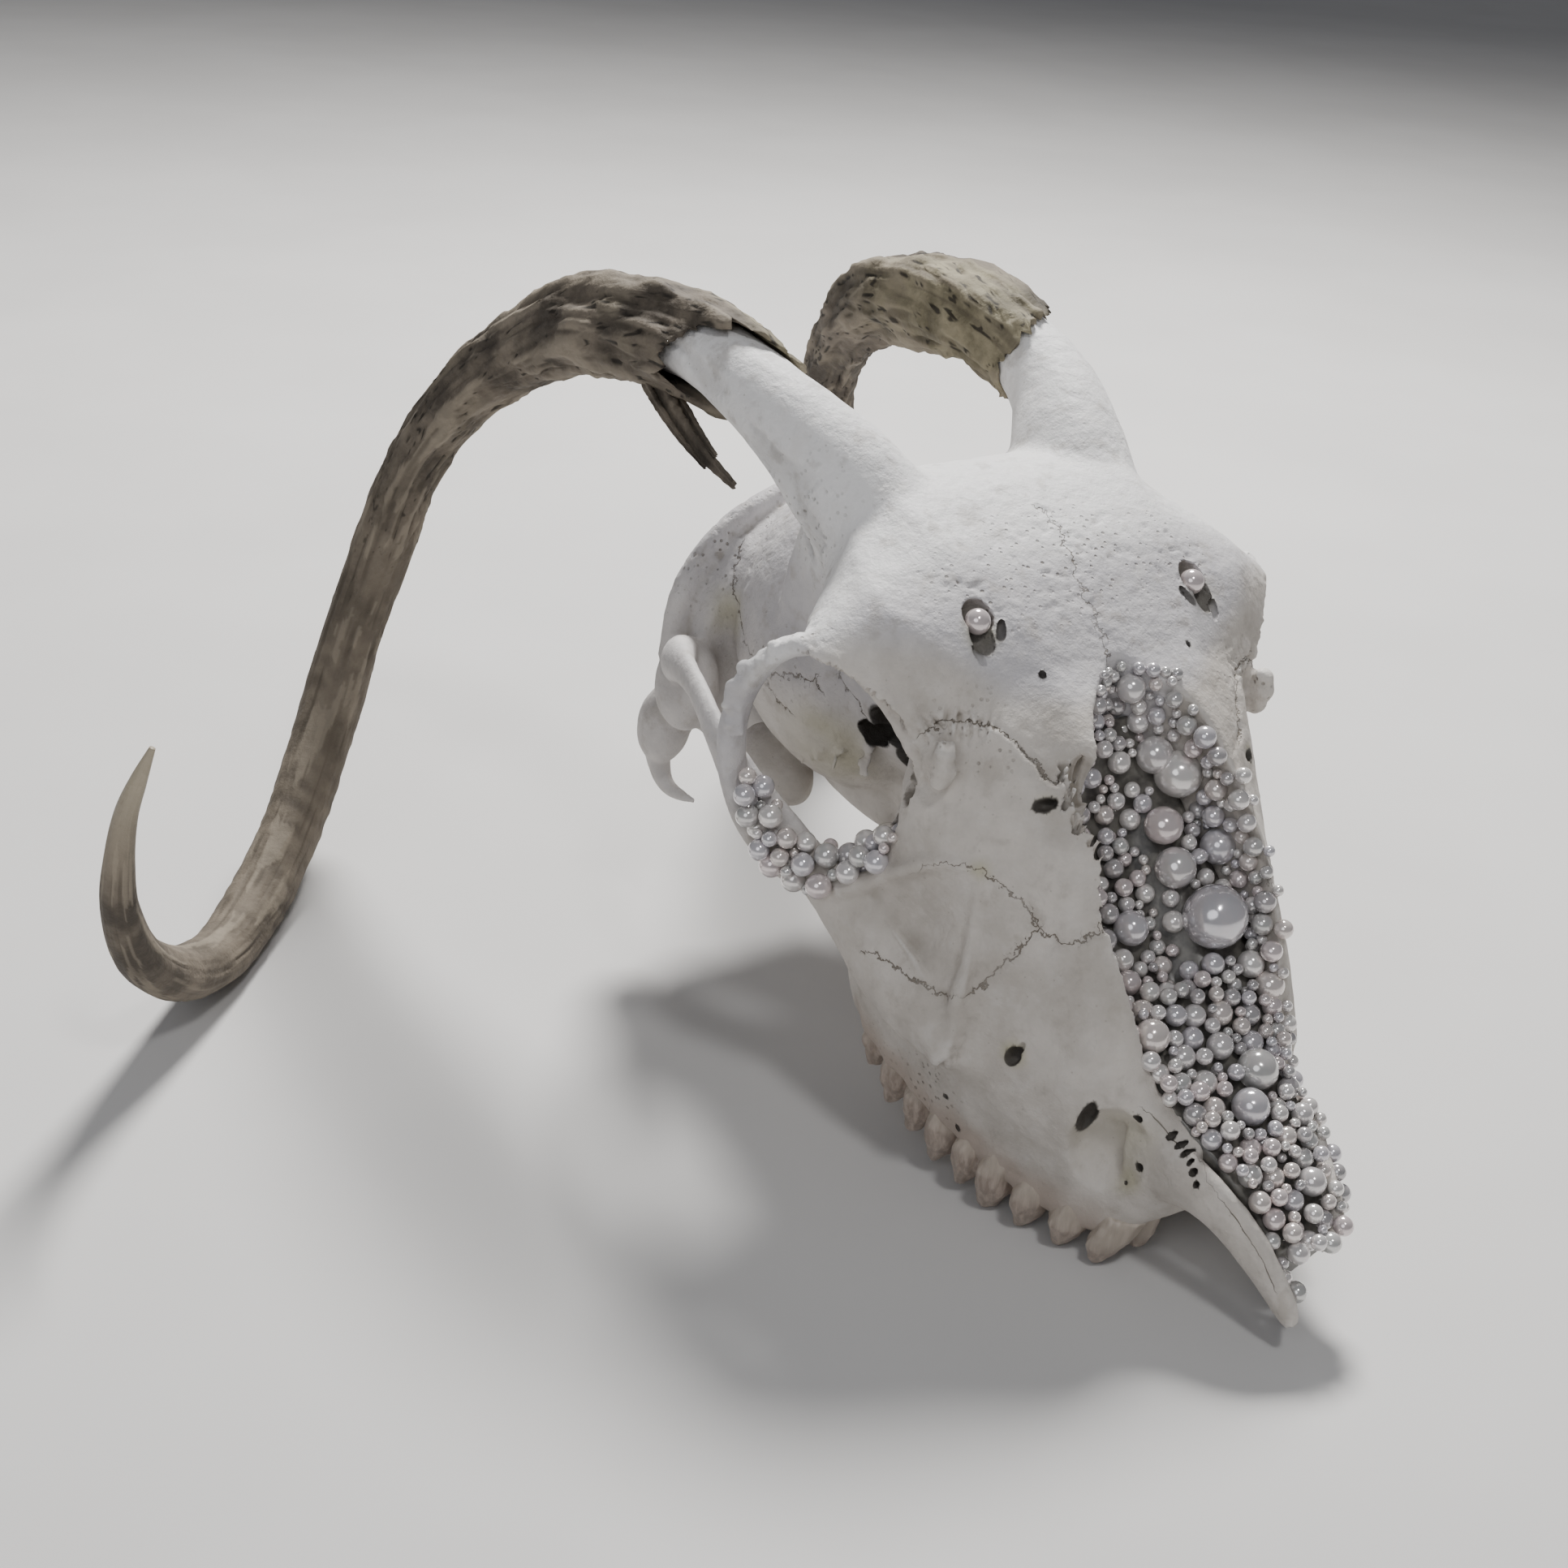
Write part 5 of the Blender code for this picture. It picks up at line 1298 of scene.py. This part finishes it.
def horn_material():
    n = Look("horn")
    along = n.attr("along")
    blotch = n.noise(70.0, 5.0)
    base = n.mix(n.ramp(blotch, 0.35, 0.68), (0.060, 0.049, 0.038), (0.185, 0.155, 0.12))
    olive = n.mix(n.ramp(blotch, 0.3, 0.65), (0.12, 0.105, 0.065), (0.31, 0.275, 0.185))
    knotty = n.math("MULTIPLY", n.ramp(along, 0.40, 0.20), n.ramp("gnarl", 0.5, 0.75, 0.0, 0.55))
    col = n.mix(knotty, n.mix(n.attr("olive"), base, olive), (0.25, 0.215, 0.16))
    band = n.mix(n.attr("rings"), (0.10, 0.08, 0.06), (0.29, 0.245, 0.185))
    mid = n.math("MULTIPLY", n.ramp(along, 0.30, 0.42), n.ramp(along, 0.80, 0.70))
    col = n.mix(n.math("MULTIPLY", mid, 0.42), col, band)
    col = n.tint(col,
                 ("flake", 0.45, 0.8, 0.5, (0.33, 0.285, 0.22)),
                 ("fibre", 0.45, 0.15, 0.5, (0.06, 0.048, 0.035)))
    tip = n.ramp(along, 0.84, 0.97)
    col = n.mix(n.math("MULTIPLY", tip, 0.85), col, (0.46, 0.40, 0.30))
    col = n.tint(col, ("crack", 0.2, 0.8, 0.9, (0.018, 0.014, 0.010)))
    fine = n.bump(n.noise(900.0), 0.5, 0.0004)
    return n.done(Base_Color=col, Roughness=n.ramp(tip, 0.0, 1.0, 0.78, 0.42),
                  Normal=n.bump(n.noise(260.0, 5.0), 0.6, 0.0010, fine), Specular_IOR_Level=0.4)


def pearl_material():
    n = Look("pearl")
    col = n.mix(n.ramp(n.noise(420.0, 2.0), 0.3, 0.7, 0.0, 0.2), n.attr("tint", "Color"), (0.80, 0.66, 0.68))
    return n.done(Base_Color=col, Metallic=0.45, Roughness=0.16, Specular_IOR_Level=0.8, Coat_Weight=1.0,
                  Coat_Roughness=0.05)


def plain_material(name, scale, first, second, roughness):
    """Two near colours in soft clouds."""
    n = Look(name)
    return n.done(Base_Color=n.mix(n.ramp(n.noise(scale, 3.0), 0.3, 0.7), first, second), Roughness=roughness)


def row_frame():
    """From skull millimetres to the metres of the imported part."""
    turn = Matrix.Rotation(radians(PITCH_DEG), 4, "X")
    scale = Matrix.Diagonal((0.001, 0.001, 0.001, 1.0))
    low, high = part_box("pearl_brow_right")
    bare = scale @ turn @ Vector(BROW_PEARL_CAD)
    return Matrix.Translation((low + high) / 2.0 - bare) @ scale @ turn


def dress(obj, mat, nodes=()):
    """Bring a piece into the part's frame, give it its finish and tie it to the part."""
    obj.data.transform(move)
    set_coords(obj, np.clip(coords(obj), np.array(cad_low) + INSET, np.array(cad_high) - INSET))
    obj.data.polygons.foreach_set("use_smooth", [True] * len(obj.data.polygons))
    obj.data.update()
    obj.data.materials.clear()
    obj.data.materials.append(mat)
    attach(obj, "root")
    if nodes:
        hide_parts(*nodes)


def area_light(name, place, target, size, power, colour):
    data = bpy.data.lights.new(name, "AREA")
    data.shape = "DISK"
    data.size = size
    data.energy = power
    data.color = colour
    obj = add_object(name, data)
    obj.location = place
    obj.rotation_euler = (Vector(target) - Vector(place)).to_track_quat("-Z", "Y").to_euler()


def level_horns():
    """Bend the horn path a little so that its lowest bend lies on the floor."""
    lows = [(move @ Vector(r[:3])).z * 1000.0 - r[3] for r in HORN]
    sink = min(lows) + 0.35
    deepest = lows.index(min(lows))
    return [(x, y, z - sink * min(1.0, (k / deepest) ** 1.5), r) for k, (x, y, z, r) in enumerate(HORN)]


def keep_largest(obj):
    """Keep only the largest closed surface."""
    bm = bmesh.new()
    bm.from_mesh(obj.data)
    seen = set()
    groups = []
    for v in bm.verts:
        if v.index in seen:
            continue
        seen.add(v.index)
        group = [v]
        for w in group:
            for e in w.link_edges:
                o = e.other_vert(w)
                if o.index not in seen:
                    seen.add(o.index)
                    group.append(o)
        groups.append(group)
    groups.sort(key=len, reverse=True)
    for group in groups[1:]:
        bmesh.ops.delete(bm, geom=group, context="VERTS")
    bm.to_mesh(obj.data)
    bm.free()


move = row_frame()
HORN = level_horns()
bone = skull_forms()
cut(bone, face_holes())
cut(bone, [prism([(0.0, 0.0), (40.0, 0.0), (40.0, 41.5), (0.0, 41.5)], -20.0, 60.0, 2)])
keep_largest(bone)
sculpt_bone(bone)
bone.name = "skull_bone"
surface = Bone(bone)
in_nose = nose_pearls(surface)
in_orbit = orbit_pearls(surface)
bone_nodes = ("cranium", "maxilla_right", "maxilla_left", "zygomatic_right", "zygomatic_left",
              "premaxilla_right", "premaxilla_left")
dress(bone, bone_material(), bone_nodes)
enamel = tooth_material()
horn_look = horn_material()
for side, word in SIDES:
    dress(tooth_row(side, word), enamel, ())
    dress(horn_sheath(side, word), horn_look, ("horn_sheath_" + word,))
    strips = [bar("strip", rows, side, 46, 16, UP, random.Random(80 + k), 0.3) for k, rows in enumerate(STRIPS)]
    strip = join(strips, "horn_strips_" + word)
    set_values(strip, along=np.full(len(strip.data.vertices), 0.12),
               fibre=0.5 + 0.5 * rough(coords(strip), 1.5, 2, 90))
    dress(strip, horn_look, ())
pearl_look = pearl_material()
# Dark glue bed, partly painted shade in the depth between the pearls.
glue = plain_material("glue", 220.0, (0.05, 0.045, 0.04), (0.17, 0.16, 0.14), 0.35)
dress(pearl_mesh("pearls_in_nose", in_nose, 101), pearl_look, ("pearls_nose",))
dress(nose_bed(), glue, ())
dress(pearl_mesh("pearls_in_orbit", in_orbit, 102), pearl_look, ("pearls_orbit_right",))
for side, word in SIDES:
    item = [(mirrored(BROW_PEARL, side), BROW_PEARL_RADIUS, ROUND_PEARL)]
    dress(pearl_mesh("brow_pearl_" + word, item, 103), pearl_look, ("pearl_brow_" + word,))

corners = [(x * FLOOR_REACH, y * FLOOR_REACH, FLOOR_Z) for x, y in ((-1, -1), (1, -1), (1, 1), (-1, 1))]
floor = from_lists("floor", corners, [(0, 1, 2, 3)])
floor.data.materials.append(plain_material("floor", 6.0, (0.62, 0.61, 0.60), (0.66, 0.65, 0.64), 0.85))

area_light("key", (0.45, 0.55, 1.05), (0.0, 0.0, 0.08), 0.32, 30.0, (1.0, 0.985, 0.96))
area_light("fill", (-0.9, -0.7, 0.8), (0.0, 0.0, 0.06), 0.8, 3.2, (0.94, 0.96, 1.0))
area_light("spark", (-0.15, -0.55, 0.9), (0.0, -0.1, 0.06), 0.12, 2.2, (1.0, 1.0, 1.0))
world = bpy.data.worlds.new("studio")
bpy.context.scene.world = world
world.use_nodes = True
world.node_tree.nodes["Background"].inputs["Color"].default_value = (0.92, 0.94, 1.0, 1.0)
world.node_tree.nodes["Background"].inputs["Strength"].default_value = 0.15

cam_data = bpy.data.cameras.new("camera")
cam = add_object("camera", cam_data)
cam_data.sensor_width = SENSOR
cam_data.lens = SENSOR * CAMERA_FOCAL / PHOTO_SIDE
cam_data.clip_start = 0.01
cam_data.clip_end = 20.0
place = move @ Vector((0.0, 0.0, 0.0)) + Vector(CAMERA_FROM_ORIGIN)
cam.matrix_world = Matrix.Translation(place) @ Matrix(CAMERA_TURN).to_4x4()
bpy.context.scene.camera = cam
